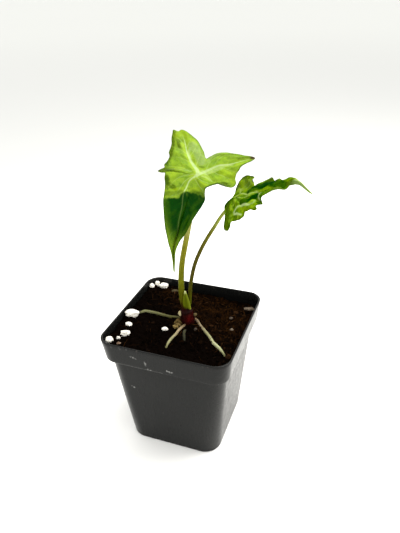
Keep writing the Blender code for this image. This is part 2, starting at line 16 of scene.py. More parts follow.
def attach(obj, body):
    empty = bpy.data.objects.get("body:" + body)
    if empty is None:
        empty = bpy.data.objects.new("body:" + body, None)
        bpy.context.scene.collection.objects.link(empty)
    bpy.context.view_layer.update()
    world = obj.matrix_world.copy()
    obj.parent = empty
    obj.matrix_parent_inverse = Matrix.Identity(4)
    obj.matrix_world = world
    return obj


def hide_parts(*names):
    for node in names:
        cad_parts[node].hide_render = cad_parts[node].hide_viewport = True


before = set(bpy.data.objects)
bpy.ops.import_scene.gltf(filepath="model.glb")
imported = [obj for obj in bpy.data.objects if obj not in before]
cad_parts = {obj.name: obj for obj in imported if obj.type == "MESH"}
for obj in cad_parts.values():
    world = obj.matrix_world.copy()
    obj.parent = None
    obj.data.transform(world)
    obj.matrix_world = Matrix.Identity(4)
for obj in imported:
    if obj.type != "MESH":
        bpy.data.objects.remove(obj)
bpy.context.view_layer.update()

MM = 0.001

# %% [markdown]
# ## Where the camera stands
#
# The pot's rim, its base and the foot of its band are straight edges of known proportion. A camera that
# lays all of them over the photograph was worked out from their corners. It looks down from the front and
# a little from the right. It comes first, because every later choice is judged through it.

# %% Camera
CAMERA_TARGET, CAMERA_DISTANCE = Vector((-11.24, 58.56, 76.53)), 351.57
CAMERA_TURN, CAMERA_TILT, CAMERA_ROLL = np.radians((20.344, 29.252, -1.317)).tolist()
SENSOR, LENS = 36.0, 34.65


def link(made):
    """Put a new object into the scene."""
    bpy.context.scene.collection.objects.link(made)
    return made


def set_camera():
    """Stand the camera back from its target along the view, and roll it about the view."""
    flat = math.cos(CAMERA_TILT)
    ahead = Vector((-math.sin(CAMERA_TURN) * flat, math.cos(CAMERA_TURN) * flat, -math.sin(CAMERA_TILT)))
    level = Vector((math.cos(CAMERA_TURN), math.sin(CAMERA_TURN), 0.0))
    raised = level.cross(ahead)
    right = math.cos(CAMERA_ROLL) * level + math.sin(CAMERA_ROLL) * raised
    up = math.cos(CAMERA_ROLL) * raised - math.sin(CAMERA_ROLL) * level
    data = bpy.data.cameras.new("camera")
    data.sensor_fit, data.sensor_height, data.lens, data.clip_start = "VERTICAL", SENSOR, LENS, 0.01
    camera = link(bpy.data.objects.new("camera", data))
    place = Matrix.Translation((CAMERA_TARGET - ahead * CAMERA_DISTANCE) * MM)
    camera.matrix_world = place @ Matrix((right, up, -ahead)).transposed().to_4x4()
    bpy.context.scene.camera = camera
    return camera


print("camera at", [round(c / MM, 1) for c in set_camera().location])

# %% [markdown]
# ## A notation for materials
#
# Blender's shader maths is a web of small nodes. A thin wrapper round a socket lets us write it as ordinary
# Python: `1 - mask * 0.5` adds the Math nodes by itself. All other kinds of node come from one method,
# which takes the node's settings first and then the values or wires of its sockets.

# %% Wires
class Wire:
    """An output socket that Python's operators can work with."""

    def __init__(self, finish, socket):
        self.finish, self.socket = finish, socket

    def math(self, operation, first, second):
        """One Math node on wires or numbers."""
        return self.finish.node("Math", {"operation": operation}, {0: first, 1: second})

    def __add__(self, other):
        return self.math("ADD", self, other)

    def __radd__(self, other):
        return self.math("ADD", other, self)

    def __sub__(self, other):
        return self.math("SUBTRACT", self, other)

    def __rsub__(self, other):
        return self.math("SUBTRACT", other, self)

    def __mul__(self, other):
        return self.math("MULTIPLY", self, other)

    def __rmul__(self, other):
        return self.math("MULTIPLY", other, self)


# %% Finishes
class Finish:
    """A material with one Principled shader, built up from wires."""

    def __init__(self, name, **constants):
        self.material = bpy.data.materials.new(name)
        self.material.use_nodes = True
        self.tree = self.material.node_tree
        self.shader = self.tree.nodes["Principled BSDF"]
        self.wear(**constants)

    def feed(self, node, sockets):
        """Give each named or numbered input its wire, its colour or its number."""
        for key, value in sockets.items():
            socket = node.inputs[key]
            if isinstance(value, Wire):
                self.tree.links.new(value.socket, socket)
            else:
                socket.default_value = (*value, 1.0) if socket.type == "RGBA" else value

    def wear(self, **sockets):
        """Set the shader's own inputs by name, and return the material."""
        self.feed(self.shader, {key.replace("_", " "): value for key, value in sockets.items()})
        return self.material

    def node(self, kind, settings=None, sockets=None, out=0):
        """Add a node: its settings first, then its sockets."""
        made = self.tree.nodes.new("ShaderNode" + kind)
        for key, value in (settings or {}).items():
            setattr(made, key, value)
        self.feed(made, sockets or {})
        return Wire(self, made.outputs[out])

    def place(self):
        """Object coordinates, in metres from the part's own origin."""
        return self.node("TexCoord", out="Object")

    def split(self, place):
        """The x, y and z of a place."""
        return [self.node("SeparateXYZ", {}, {"Vector": place}, out=k) for k in "XYZ"]

    def mark(self, name, out="Fac"):
        """A number, or a Vector, that the mesh carries at each of its points."""
        return self.node("Attribute", {"attribute_name": name}, out=out)

    def away(self, place, x, y, z):
        """How far a place is from a point given in millimetres."""
        return self.node("VectorMath", {"operation": "DISTANCE"},
                         {0: place, 1: (x * MM, y * MM, z * MM)}, out="Value")

    def cloudy(self, place, size, detail=3.0, rough=0.55, warp=0.0, scale=None):
        """Noise from 0 to 1 in blotches about size millimetres across, on a place scaled by axis."""
        if scale:
            place = self.node("Mapping", {}, {"Vector": place, "Scale": scale})
        return self.node("TexNoise", {}, {"Vector": place, "Scale": 1.0 / (size * MM),
                                          "Detail": detail, "Roughness": rough, "Distortion": warp})

    def cells(self, place, size, feature="F1"):
        """Cells about size millimetres across: how far a point is from a seed or edge."""
        return self.node("TexVoronoi", {"feature": feature},
                         {"Vector": place, "Scale": 1.0 / (size * MM)}, out="Distance")

    def band(self, value, low, high):
        """0 where the value is at or under low, 1 at or over high, and eased between."""
        return self.node("MapRange", {"interpolation_type": "SMOOTHSTEP"},
                         {"Value": value, "From Min": low, "From Max": high}, out="Result")

    def blend(self, colour, *layers):
        """Colours laid over the first one in turn, each by its share from 0 to 1."""
        for tint, share in layers:
            colour = self.node("Mix", {"data_type": "RGBA"}, {0: share, 6: colour, 7: tint}, out=2)
        return colour

    def done(self, colour, gloss, height, strength, depth, **sockets):
        """The material with its colour, roughness, and bumps where a height of 1 is depth millimetres."""
        bump = self.node("Bump", {}, {"Height": height, "Strength": strength, "Distance": depth * MM},
                         out="Normal")
        return self.wear(Base_Color=colour, Roughness=gloss, Normal=bump, **sockets)


# %% [markdown]
# ## A notation for meshes
#
# A shape here is an array of points, worked out all at once. Closed rings of points that follow each other,
# with one point at each end, make a solid skin: a stem, a grain, a pot. The same few lines turn any of
# them into a mesh, check which way its faces point by the sign of the volume that they close, and hand it
# to the frame.

# %% Skins over arrays of points
def xyz(*parts):
    """Coordinates side by side as points, each stretched to the shape of them all."""
    return np.stack(np.broadcast_arrays(*parts), axis=-1)


def circle(angle):
    """Points (cosine, sine) at angles."""
    return xyz(np.cos(angle), np.sin(angle))


def turn_of(count):
    """Angles that share out a full turn."""
    return np.linspace(0, 2 * np.pi, count, endpoint=False)


def unit(rows):
    """Each vector divided by its length."""
    return rows / np.linalg.norm(rows, axis=-1, keepdims=True)


def grid_quads(rows, columns):
    """Corner numbers of the faces between rings of points, each ring closed on itself."""
    number = np.arange(rows * columns).reshape(rows, columns)
    number = np.hstack([number, number[:, :1]])
    return xyz(number[:-1, :-1], number[:-1, 1:], number[1:, 1:], number[1:, :-1]).reshape(-1, 4)


def skin(rings, start, end):
    """Points and faces of the closed skin over rings (rows, columns, 3) and two end points."""
    rows, columns = rings.shape[:2]
    near = np.arange(columns)
    far = near + (rows - 1) * columns
    first = xyz(np.roll(near, -1), near, rows * columns)
    last = xyz(far, np.roll(far, -1), rows * columns + 1)
    return np.vstack([rings.reshape(-1, 3), start, end]), [grid_quads(rows, columns), first, last]


def volume(points, faces):
    """Six times the volume that the faces close: a sum of determinants of corners."""
    total = 0.0
    for group in faces:
        for k in range(1, group.shape[1] - 1):
            a, b, c = points[group[:, 0]], points[group[:, k]], points[group[:, k + 1]]
            total += np.einsum("ij,ij->", a, np.cross(b, c))
    return total


# %% Pieces
def make_mesh(name, shell, finish, marks=None, flat=None):
    """An object in metres from points in millimetres and faces, turned outward, with marks by point."""
    points, faces = shell
    if volume(points, faces) < 0:
        faces = [group[:, ::-1] for group in faces]
    mesh = bpy.data.meshes.new(name)
    mesh.from_pydata((points * MM).tolist(), [], [face for group in faces for face in group.tolist()])
    for key, values in (marks or {}).items():
        values = np.asarray(values, np.float32)
        kind, field = (("FLOAT", "value"), ("FLOAT_VECTOR", "vector"))[values.ndim - 1]
        mesh.attributes.new(key, kind, "POINT").data.foreach_set(field, values.ravel())
    mesh.materials.append(finish)
    mesh.shade_smooth()
    if flat is not None:
        mesh.set_sharp_from_angle(angle=math.radians(flat))
    return link(bpy.data.objects.new(name, mesh))


def dress(piece, slot, *nodes):
    """The piece rides on the part's one body and stands for its solids."""
    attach(piece, "root")
    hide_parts(*nodes)
    print(piece.name, "faces:", len(piece.data.polygons), "for", ", ".join(nodes))


def make_piece(name, shell, finish, slot, node, marks=None, flat=None):
    """A new mesh, dressed."""
    dress(make_mesh(name, shell, finish, marks, flat), slot, node)


# %% [markdown]
# ## Roughness that is the same every time
#
# Soil, perlite and bark are irregular at every size. A hash gives each corner of a lattice a random value,
# and they are blended inside each cell. A few such lattices, each finer and fainter than the last, give a
# natural surface that comes out the same in every run.

# %% Noise
HASH = np.array([73856093, 19349663, 83492791])


def noise(points, size, seed=0):
    """Values in -1..1 at points: random lattice corners blended by 3s^2 - 2s^3."""
    place = np.asarray(points, float) / size + 19.7 * (seed + 1)
    cell = np.floor(place).astype(np.int64)
    part = place - cell
    ease = part * part * (3 - 2 * part)
    total = np.zeros(place.shape[:-1])
    for corner in np.ndindex(*(2,) * place.shape[-1]):
        key = ((cell + np.array(corner)) * HASH[:place.shape[-1]]).sum(-1) + seed * 7919
        key = ((key ^ (key >> 13)) * 1274126177) & 0x7FFFFFFF
        key = key ^ (key >> 15)
        share = np.where(np.array(corner) == 1, ease, 1 - ease).prod(-1)
        total += share * ((key & 0xFFFF) / 32767.5 - 1)
    return total


def rough(points, size, octaves=3, seed=0, fall=0.5):
    """A sum of noises, each of half the last one's size and fall times its height."""
    return sum(fall ** k * noise(points, size / 2 ** k, seed + k) for k in range(octaves))


def eased(value, low, high):
    """0 at or under low, 1 at or over high, and 3s^2 - 2s^3 between."""
    share = np.clip((value - low) / (high - low), 0.0, 1.0)
    return share * share * (3 - 2 * share)


print("noise at three points:", noise(np.eye(3), 5.0).round(2))

# %% [markdown]
# ## The table and the light
#
# The pot stands on a white sweep that is lit brighter than white can show. The table fades into pure white,
# and the black pot's right face, seen at a low angle, mirrors so much of it that it turns pale grey. Past a
# long oval round the pot the flat plane is painted a touch darker, as painted shade for a backdrop that is
# lit less, and a little lighter again far off. One broad lamp above the right shoulder gives the leaves
# their direction, and the white surroundings do the rest.

# %% Floor
FLOOR_REACH = 10000.0
SWEEP, FAR = (375.0, 485.0), (700.0, 3000.0)
# Past the oval the floor is painted darker, as painted shade for a backdrop lit less, and far off a little
# lighter.
FLOOR_WHITE, SWEEP_SHADE, FAR_SHADE = (0.93, 0.925, 0.90), (0.56, 0.562, 0.545), (0.60, 0.605, 0.58)


def make_floor():
    """A wide plane with painted shade past a long oval round the pot: length of (across / 2, behind)."""
    paint = Finish("white_sweep", Roughness=0.9, Specular_IOR_Level=0.2)
    turned = paint.node("Mapping", {}, {"Vector": paint.place(), "Rotation": (0.0, 0.0, -CAMERA_TURN)})
    oval = paint.node("VectorMath", {"operation": "MULTIPLY"}, {0: turned, 1: (0.5, 1.0, 0.0)})
    behind = paint.node("VectorMath", {"operation": "LENGTH"}, {0: oval}, out="Value")
    climb, far = (paint.band(behind, low * MM, high * MM) for low, high in (SWEEP, FAR))
    paint.wear(Base_Color=paint.blend(FLOOR_WHITE, (paint.blend(SWEEP_SHADE, (FAR_SHADE, far)), climb)))
    corners = np.array([(-1, -1, 0), (1, -1, 0), (1, 1, 0), (-1, 1, 0)]) * FLOOR_REACH
    floor = make_mesh("floor", (corners, [np.array([(0, 1, 2, 3)])]), paint.material)


make_floor()
print("floor:", 2 * FLOOR_REACH * MM, "m wide")

# %% Lamp and surroundings
SURROUND = 1.5
LAMP_PLACE, LAMP_SIZE, LAMP_POWER = Vector((260.0, 240.0, 620.0)), 560.0, 6.0
AIM = Vector((10.0, 0.0, 110.0))


def light_scene():
    """A white world, and a square lamp turned to face the plant."""
    world = bpy.data.worlds.new("white_room")
    world.use_nodes = True
    back = world.node_tree.nodes["Background"].inputs
    back["Color"].default_value, back["Strength"].default_value = (1.0, 1.0, 0.99, 1.0), SURROUND
    bpy.context.scene.world = world
    lamp = bpy.data.lights.new("key", "AREA")
    lamp.size, lamp.energy, lamp.color = LAMP_SIZE * MM, LAMP_POWER, (1.0, 0.985, 0.95)
    holder = link(bpy.data.objects.new("key", lamp))
    holder.location = LAMP_PLACE * MM
    holder.rotation_euler = (AIM - LAMP_PLACE).normalized().to_track_quat("-Z", "Y").to_euler()
    bpy.context.scene.view_settings.view_transform = "Standard"
    print("lamp at", list(LAMP_PLACE))


light_scene()

# %% [markdown]
# ## The pot
#
# A nursery pot is thin black plastic, drawn over a tapered square plug. Its outline from the middle of the
# underside, up the wall, over the rim and down to the floor inside is one profile. Each of its points is a
# rounded square of its own size, so the whole skin is a stack of such squares. The long sides bow out by a
# hair, as thin plastic does.

# %% The pot's outline
POT_HEIGHT, POT_TOP_HALF, POT_BODY_HALF, POT_BASE_HALF = 76.5, 38.0, 34.3, 28.3
BAND_FOOT, BAND_FOOT_HALF = POT_HEIGHT - 13.4, 36.7
WALL, FLOOR, BOW = 1.0, 1.3, 0.22
LEDGE = BAND_FOOT + WALL
CORNER_TOP, CORNER_BASE, FOOT_ROUND = 8.6, 10.1, 1.1


def arc(middle, radius, start, end, steps):
    """Points (across, up) round a middle: radius times the cosine and sine of each angle."""
    return np.array(middle) + radius * circle(np.radians(np.linspace(start, end, steps)))


def straight(start, end, steps):
    """Points on a straight line from start to end, both left out."""
    share = np.linspace(0.0, 1.0, steps + 2)[1:-1, None]
    return np.array(start) + share * (np.array(end) - np.array(start))


def rounded_squares(half, corner, bow, arc_steps=14, side_steps=26):
    """A rounded square for each half width: four arcs, and sides bowed by 4 f (1 - f)."""
    half, corner, bow = (np.asarray(v, float)[:, None, None, None] for v in (half, corner, bow))
    start = np.pi / 2 * np.arange(4)[:, None]
    middle = start + np.pi / 4
    arcs = ((half - corner) * np.sign(circle(middle))
            + corner * circle(start + np.pi / 2 * np.linspace(0, 1, arc_steps + 1)))
    share = (np.arange(1, side_steps + 1) / (side_steps + 1))[:, None]
    ends, starts = arcs[:, :, -1:], np.roll(arcs, -1, axis=1)[:, :, :1]
    sides = ends + share * (starts - ends) + bow * 4 * share * (1 - share) * circle(middle + np.pi / 4)
    return np.concatenate([arcs, sides], axis=2).reshape(len(half), -1, 2)


def slope(z, foot, top):
    """A value that runs evenly from foot to top, each given as (height, value)."""
    return foot[1] + (top[1] - foot[1]) * (z - foot[0]) / (top[0] - foot[0])


def corner_at(z):
    """Corner radius of the pot's outside."""
    return slope(z, (0.0, CORNER_BASE), (POT_HEIGHT, CORNER_TOP))


def body_inside(z):
    """Half width inside the pot under the band's ledge."""
    return slope(z, (FLOOR, POT_BASE_HALF - WALL), (LEDGE, POT_BODY_HALF - WALL))


def band_inside(z):
    """Half width inside the pot over the band's ledge."""
    return slope(z, (LEDGE, BAND_FOOT_HALF - WALL), (POT_HEIGHT, POT_TOP_HALF - WALL))


print("inside the rim:", 2 * band_inside(POT_HEIGHT), "mm wide")

# %% [markdown]
# Black polypropylene isn't quite even. It has a satin grain, faint streaks that run up the wall where it
# was drawn from the mould, dust along the rim and the odd scuff. The streaks and the grain go into the
# roughness and the bump, because they show where they break up the wide reflection of the white table.

# %% The pot's finish
SCUFFS = (
    (-16.8, -37.4, 70.9, 1, 0.5), (-15.4, -37.4, 70.6, 1.2, 0.6), (-14, -37.3, 70, 1, 0.5),
    (-9, -37.2, 69, 0.9, 0.6), (-8.6, -37.2, 67.8, 1.1, 0.8), (-8.6, -37.2, 66.6, 0.9, 0.6),
    (-7.4, -36.8, 64, 0.9, 0.7), (-5.8, -36.8, 63.7, 0.8, 0.6), (4, -36.9, 66, 0.9, 1),
    (5.4, -36.9, 65.7, 1.1, 1), (6.8, -36.9, 65.6, 0.9, 0.9), (-19.5, -32.5, 44.2, 1, 0.9),
    (-20.9, -32.5, 44.8, 0.7, 0.6), (-28, -37.9, 75.1, 1.4, 0.25), (-23, -38, 75.3, 1.6, 0.3),
    (-19, -38, 75.4, 1.2, 0.25), (-3, -31, 28, 0.5, 0.4),
)
EDGE_WEAR = (BAND_FOOT + 0.35, -30.0, 4.0)


def pot_plastic():
    """Satin black plastic with streaks, dust by the rim, scuffs that catch the light, and painted shade
    inside.
    """
    paint = Finish("pot_plastic", Metallic=0.0, IOR=1.33, Specular_IOR_Level=0.265)
    place, inside = paint.place(), paint.mark("inside")
    x, y, z = paint.split(place)
    streak = paint.cloudy(place, 2.6, 4.0, 0.6, scale=(1.0, 1.0, 0.07))
    fine_streak = paint.cloudy(place, 0.9, 3.0, 0.6, scale=(1.0, 1.0, 0.1))
    scratch = paint.cloudy(place, 0.8, 4.0, 0.7, scale=(1.0, 1.0, 2.2))
    grain, broad = paint.cloudy(place, 0.35, 2.0, 0.5), paint.cloudy(place, 22.0, 2.0, 0.5)
    dust = paint.band(paint.cloudy(place, 1.7, 5.0, 0.7), 0.56, 0.74)
    near_rim = paint.band(z, (POT_HEIGHT - 5.0) * MM, POT_HEIGHT * MM)
    film = dust * near_rim * 0.6 + paint.band(grain, 0.5, 0.95) * 0.05
    beside = paint.band(x, 24.0 * MM, 32.0 * MM)
    mottle = (paint.band(paint.cloudy(place, 3.2, 3.0, 0.65), 0.38, 0.62) - 0.5) * beside
    top = paint.band(z, (BAND_FOOT - 1.0) * MM, (BAND_FOOT + 1.0) * MM) * beside
    spots = 0.0
    for sx, sy, sz, size, strength in SCUFFS:
        near = 1 - paint.band(paint.away(place, sx, sy, sz), 0.2 * size * MM, size * MM)
        spots = spots + near * strength
    level, left, right = EDGE_WEAR
    gap = paint.node("Math", {"operation": "ABSOLUTE"}, {0: z - level * MM})
    worn = (1 - paint.band(gap, 0.1 * MM, 0.42 * MM)) * paint.band(-1.0 * y, 36.0 * MM, 36.4 * MM)
    worn = worn * paint.band(x, left * MM, (left + 4) * MM) * (1 - paint.band(x, 0.0, right * MM))
    broken = paint.band(scratch, 0.36, 0.62)
    spots = paint.band(spots * broken, 0.05, 0.75) + paint.band(worn * broken, 0.1, 1.0) * 0.35
    # The inside walls are blended towards a darker black: painted shade inside the pot.
    colour = paint.blend((0.0035, 0.0037, 0.0035), ((0.0075, 0.008, 0.0072), broad),
                         ((0.06, 0.052, 0.045), film * (1 - inside)),
                         ((0.30, 0.30, 0.285), spots * 0.8), ((0.002, 0.002, 0.0018), inside * 0.8))
    gloss = 0.17 + streak * 0.10 + fine_streak * 0.05 + grain * 0.04 + film * 0.3 + spots * 0.3
    gloss = gloss + inside * 0.05 - mottle * 0.08 - top * 0.05
    return paint.done(colour, gloss, streak * 0.7 + fine_streak * 0.15 + grain * 0.1 + mottle * 0.6,
                      0.35, 0.12)


# %% Make the pot
DRAIN_RADIUS, DRAIN_PLACE, DRAIN_SIDES = 3.0, 16.5, 48


def cut_drains(pot):
    """Take four upright cylinders out of the pot's floor with one exact Boolean."""
    rim = circle(turn_of(DRAIN_SIDES)) * DRAIN_RADIUS
    points, faces = [], []
    for index, side in enumerate(((1, 1), (-1, 1), (-1, -1), (1, -1))):
        middle = np.array(side) * DRAIN_PLACE
        rings = np.array([xyz(*(rim + middle).T, z) for z in (-2.0, 2.6)])
        some, groups = skin(rings, (*middle, -2.0), (*middle, 2.6))
        points.append(some)
        faces += [group + index * len(some) for group in groups]
    cutter = make_mesh("drain_cutter", (np.vstack(points), faces), pot.data.materials[0])
    cut = pot.modifiers.new("drains", "BOOLEAN")
    cut.object, cut.operation, cut.solver = cutter, "DIFFERENCE", "EXACT"
    bpy.context.view_layer.update()
    found = pot.evaluated_get(bpy.context.evaluated_depsgraph_get())
    pot.data = bpy.data.meshes.new_from_object(found)
    pot.modifiers.clear()
    bpy.data.objects.remove(cutter)


def make_pot():
    """The skin over the whole profile, with the four drain holes cut through its floor."""
    outside = np.vstack([
        [(6.0, 0.0), (18.0, 0.0)],
        arc((POT_BASE_HALF - FOOT_ROUND, FOOT_ROUND), FOOT_ROUND, -90, 0, 8),
        straight((POT_BASE_HALF, FOOT_ROUND), (POT_BODY_HALF, BAND_FOOT), 16),
        arc((POT_BODY_HALF + 0.45, BAND_FOOT - 0.45), 0.45, 180, 90, 5),
        arc((BAND_FOOT_HALF - 0.4, BAND_FOOT + 0.4), 0.4, -90, 0, 5),
        straight((BAND_FOOT_HALF, BAND_FOOT + 0.4), (POT_TOP_HALF, POT_HEIGHT - 0.5), 6),
        arc((POT_TOP_HALF - 0.5, POT_HEIGHT - 0.5), 0.5, 0, 180, 11)])
    inside = np.vstack([
        straight((band_inside(POT_HEIGHT), POT_HEIGHT - 0.5), (band_inside(LEDGE), LEDGE), 4),
        [(band_inside(LEDGE), LEDGE), (body_inside(LEDGE), LEDGE)],
        straight((body_inside(LEDGE), LEDGE), (body_inside(FLOOR), FLOOR), 8),
        [(body_inside(FLOOR), FLOOR), (18.0, FLOOR), (6.0, FLOOR)]])
    half, up = np.vstack([outside, inside]).T
    corner = corner_at(up)
    corner[:10] -= POT_BASE_HALF - half[:10]
    corner[len(outside):] -= WALL
    corner[-2:] = corner[:2] = half[:2] * 0.4
    level = rounded_squares(half, corner, BOW * eased(up, 3.0, 30.0) * eased(BAND_FOOT - up, 0.0, 8.0))
    rings = xyz(level[..., 0], level[..., 1], up[:, None])
    within = np.repeat(np.arange(len(half)) > len(outside), level.shape[1])
    pot = make_mesh("nursery_pot", skin(rings, (0.0, 0.0, 0.0), (0.0, 0.0, FLOOR)), pot_plastic(),
                    {"inside": np.concatenate([within, [False, True]])}, flat=38)
    cut_drains(pot)
    dress(pot, "pot_plastic", "pot")


make_pot()

# %% [markdown]
# ## Lines through points
#
# Stems, roots, veins and leaf margins all start as a few chosen points. A centripetal curve runs through
# them without loops or overshoots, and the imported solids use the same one, so the finer shapes keep their
# form. A second helper measures how far points lie from a line, which is how every vein is later drawn.

# %% Curves
def curve_through(points, per, closed=False):
    """Points on the centripetal curve through the given ones, per of them on each span."""
    given = np.asarray(points, float)
    if closed:
        ring = np.vstack([given[-1:], given, given[:2]])
    else:
        ring = np.vstack([2 * given[0] - given[1], given, 2 * given[-1] - given[-2]])
    p0, p1, p2, p3 = (ring[k:len(ring) - 3 + k][:, None, :] for k in range(4))
    t1, t2, t3 = np.cumsum([np.sqrt(np.linalg.norm(b - a, axis=2, keepdims=True))
                            for a, b in ((p0, p1), (p1, p2), (p2, p3))], axis=0)
    t = t1 + (t2 - t1) * np.linspace(0.0, 1.0, per, endpoint=False)[None, :, None]
    a1 = (t1 - t) / t1 * p0 + t / t1 * p1
    a2 = (t2 - t) / (t2 - t1) * p1 + (t - t1) / (t2 - t1) * p2
    a3 = (t3 - t) / (t3 - t2) * p2 + (t - t2) / (t3 - t2) * p3
    b1 = (t2 - t) / t2 * a1 + t / t2 * a2
    b2 = (t3 - t) / (t3 - t1) * a2 + (t - t1) / (t3 - t1) * a3
    found = ((t2 - t) / (t2 - t1) * b1 + (t - t1) / (t2 - t1) * b2).reshape(-1, given.shape[1])
    return found if closed else np.vstack([found, given[-1:]])


def line_to(level, path):
    """Distance of each point from a broken line, and the share of its length there."""
    runs = np.linalg.norm(np.diff(path, axis=0), axis=1)
    before = np.concatenate([[0.0], np.cumsum(runs)])
    nearest, along = np.full(level.shape[:-1], 1e9), np.zeros(level.shape[:-1])
    for start, end, run, passed in zip(path[:-1], path[1:], runs, before):
        share = np.clip((level - start) @ (end - start) / run ** 2, 0.0, 1.0)
        away = np.linalg.norm(level - start - share[..., None] * (end - start), axis=-1)
        along = np.where(away < nearest, (passed + share * run) / before[-1], along)
        nearest = np.minimum(away, nearest)
    return nearest, along


print("a curve of", len(curve_through(((0, 0), (1, 2), (3, 3)), 5)), "points")

# %% [markdown]
# ## The shape of a blade
#
# An arrowhead leaf hangs from the end of its stem at the notch between its lobes. Its margin is a ring of
# points, each an angle from the midrib, a reach and a lift. The blade spreads from the stem to that
# ring like a fan: a point at share s of the way out is lifted by s squared of the margin's lift, so the
# blade leaves the stem flat and curls towards its edge. Folds add a ridge or a channel along a line. The
# tables hold whole numbers: tenths of a degree and of a millimetre, and each line's first two numbers,
# such as a fold's height and half width, in hundredths.

# %% Leaf measurements
FLAT_SEAT, FOLD_START, FOLD_END = 4.0, 0.08, 0.98
LEAVES = {
    "upright": {"seat": (6.0, 9.5, 159.5), "way": (-0.32, -0.75, -0.57), "face": (0.27, -0.65, 0.71),
                "droop": (0.0, 0.0), "hook": (36.0, 0.5), "crinkle": 0.42, "dim": (0.0, 0.0)},
    "arching": {"seat": (26.1, 12.7, 148.9), "way": (0.86, -0.26, 0.44), "face": (-0.46, -0.04, 0.89),
                "droop": (38.7, 1.35), "hook": (38.0, -0.55), "crinkle": 0.7, "dim": (0.95, 0.3)},
}
MARGINS = {
    "upright": (
        (139, 456, -260), (145, 442, -236), (152, 416, -198), (156, 397, -169), (165, 379, -146),
        (173, 354, -130), (187, 326, -113), (216, 303, -88), (248, 273, -55), (278, 244, -33),
        (347, 202, -12), (462, 164, 16), (503, 150, 23), (533, 123, 42), (599, 106, 55), (717, 110, 61),
        (870, 127, 63), (940, 151, 66), (977, 180, 38), (1018, 203, 23), (1093, 211, 17), (1170, 203, 15),
        (1247, 209, 17), (1293, 223, 18), (1332, 234, 22), (1364, 267, 30), (1386, 304, 24), (1410, 324, 12),
        (1440, 316, 3), (1488, 291, -11), (1613, 249, -40), (1691, 232, -55), (1783, 199, -61),
        (1844, 156, -49), (1893, 130, -35), (1986, 165, -41), (2053, 198, -47), (2117, 237, -50),
        (2184, 263, -41), (2244, 291, -36), (2282, 301, -34), (2326, 294, -26), (2371, 302, -15),
        (2395, 285, -14), (2438, 258, -14), (2467, 236, -15), (2517, 218, -15), (2582, 204, -15),
        (2632, 184, -15), (2719, 178, -15), (2810, 181, -13), (2846, 175, -16), (2860, 197, -44),
        (2880, 212, -60), (2909, 192, -44), (2940, 166, -19), (3049, 165, -13), (3176, 167, -15),
        (3322, 189, -14), (3402, 213, -15), (3511, 250, -25), (3622, 311, -68), (3655, 331, -90),
        (3698, 365, -123), (3722, 390, -153), (3731, 415, -192), (3735, 436, -226),
    ),
    "arching": (
        (7, 447, -88), (2, 414, -66), (0, 400, -38), (-1, 389, -13), (-4, 371, -3), (-12, 347, -3),
        (-46, 336, -12), (-62, 326, -15), (-82, 306, -1), (-116, 284, 1), (-160, 264, 0), (-195, 247, -4),
        (-223, 230, -14), (-246, 238, -28), (-268, 249, -39), (-304, 240, -37), (-336, 235, -36),
        (-364, 266, -43), (-388, 257, -42), (-412, 219, -39), (-472, 179, -46), (-514, 207, -53),
        (-578, 211, -63), (-675, 177, -69), (-765, 176, -70), (-795, 186, -83), (-845, 188, -94),
        (-1040, 156, -101), (-1090, 129, -82), (-1257, 95, -57), (-1440, 70, -19), (-1720, 49, -15),
        (-2086, 38, -7), (-2449, 104, 10), (-2585, 142, 38), (-2650, 156, 47), (-2713, 160, 48),
        (-2824, 158, 42), (-2935, 156, 33), (-2980, 135, 28), (-3070, 126, 17), (-3130, 119, -1),
        (-3170, 130, 3), (-3215, 146, 5), (-3255, 164, 6), (-3295, 187, 11), (-3357, 221, 10),
        (-3382, 224, -1), (-3408, 238, -4), (-3436, 261, 2), (-3462, 272, -6), (-3495, 291, -14),
        (-3516, 318, -2), (-3546, 349, -3), (-3572, 375, -11), (-3588, 396, -33), (-3594, 414, -61),
    ),
}
FOLDS = {
    "upright": (
        (-80, 320, 0, 0, 20, 120, 80, 240, 150, 360, 180, 440), (-150, 400, 0, 0, 2250, 120, 2310, 280),
        (-120, 350, 0, 0, 1370, 140, 1400, 300),
    ),
    "arching": (
        (-100, 260, 0, 0, -10, 140, -30, 260, -40, 380), (90, 300, -750, 90, -400, 135, -180, 190),
    ),
}


def lines_of(rows):
    """Each row as its line of points and its two first numbers, in millimetres or as shares."""
    return [(np.reshape(row[2:], (-1, 2)) / 10, row[0] / 100, row[1] / 100) for row in rows]


def on_plan(points):
    """Polar points (degrees, reach, ...) as level ones (ahead, aside, ...)."""
    return np.hstack([points[:, 1:2] * circle(np.radians(points[:, 0])), points[:, 2:]])


def margin_of(name, per):
    """The closed curve through a leaf's margin points, as (ahead, aside, lift)."""
    return curve_through(on_plan(np.array(MARGINS[name]) / 10), per, closed=True)


def leaf_axes(leaf):
    """Rows along the midrib, across it and out of the face."""
    way, face = unit(np.array(leaf["way"])), np.array(leaf["face"])
    up = unit(face - way * (face @ way))
    return np.array([way, np.cross(up, way), up])


def fold_lift(level, rows):
    """Height times a bell of the distance from each fold's line, fading at both its ends."""
    lift = np.zeros(level.shape[:-1])
    for way, height, half_width in lines_of(rows):
        away, along = line_to(level, on_plan(way))
        fade = np.sqrt(np.sin(np.pi * (FOLD_START + (FOLD_END - FOLD_START) * along)))
        lift += height * np.exp(-(away / half_width) ** 2) * fade
    return lift * np.clip(np.linalg.norm(level, axis=-1) / FLAT_SEAT - 0.5, 0.0, 1.0)


def bend(ahead, start, steepness):
    """Nothing up to a start, then a steady slope, joined by a square root."""
    return steepness * (np.sqrt((ahead - start) ** 2 + 1.0) + ahead - start) / 2


print("margin points:", {name: len(margin_of(name, 1)) for name in LEAVES})
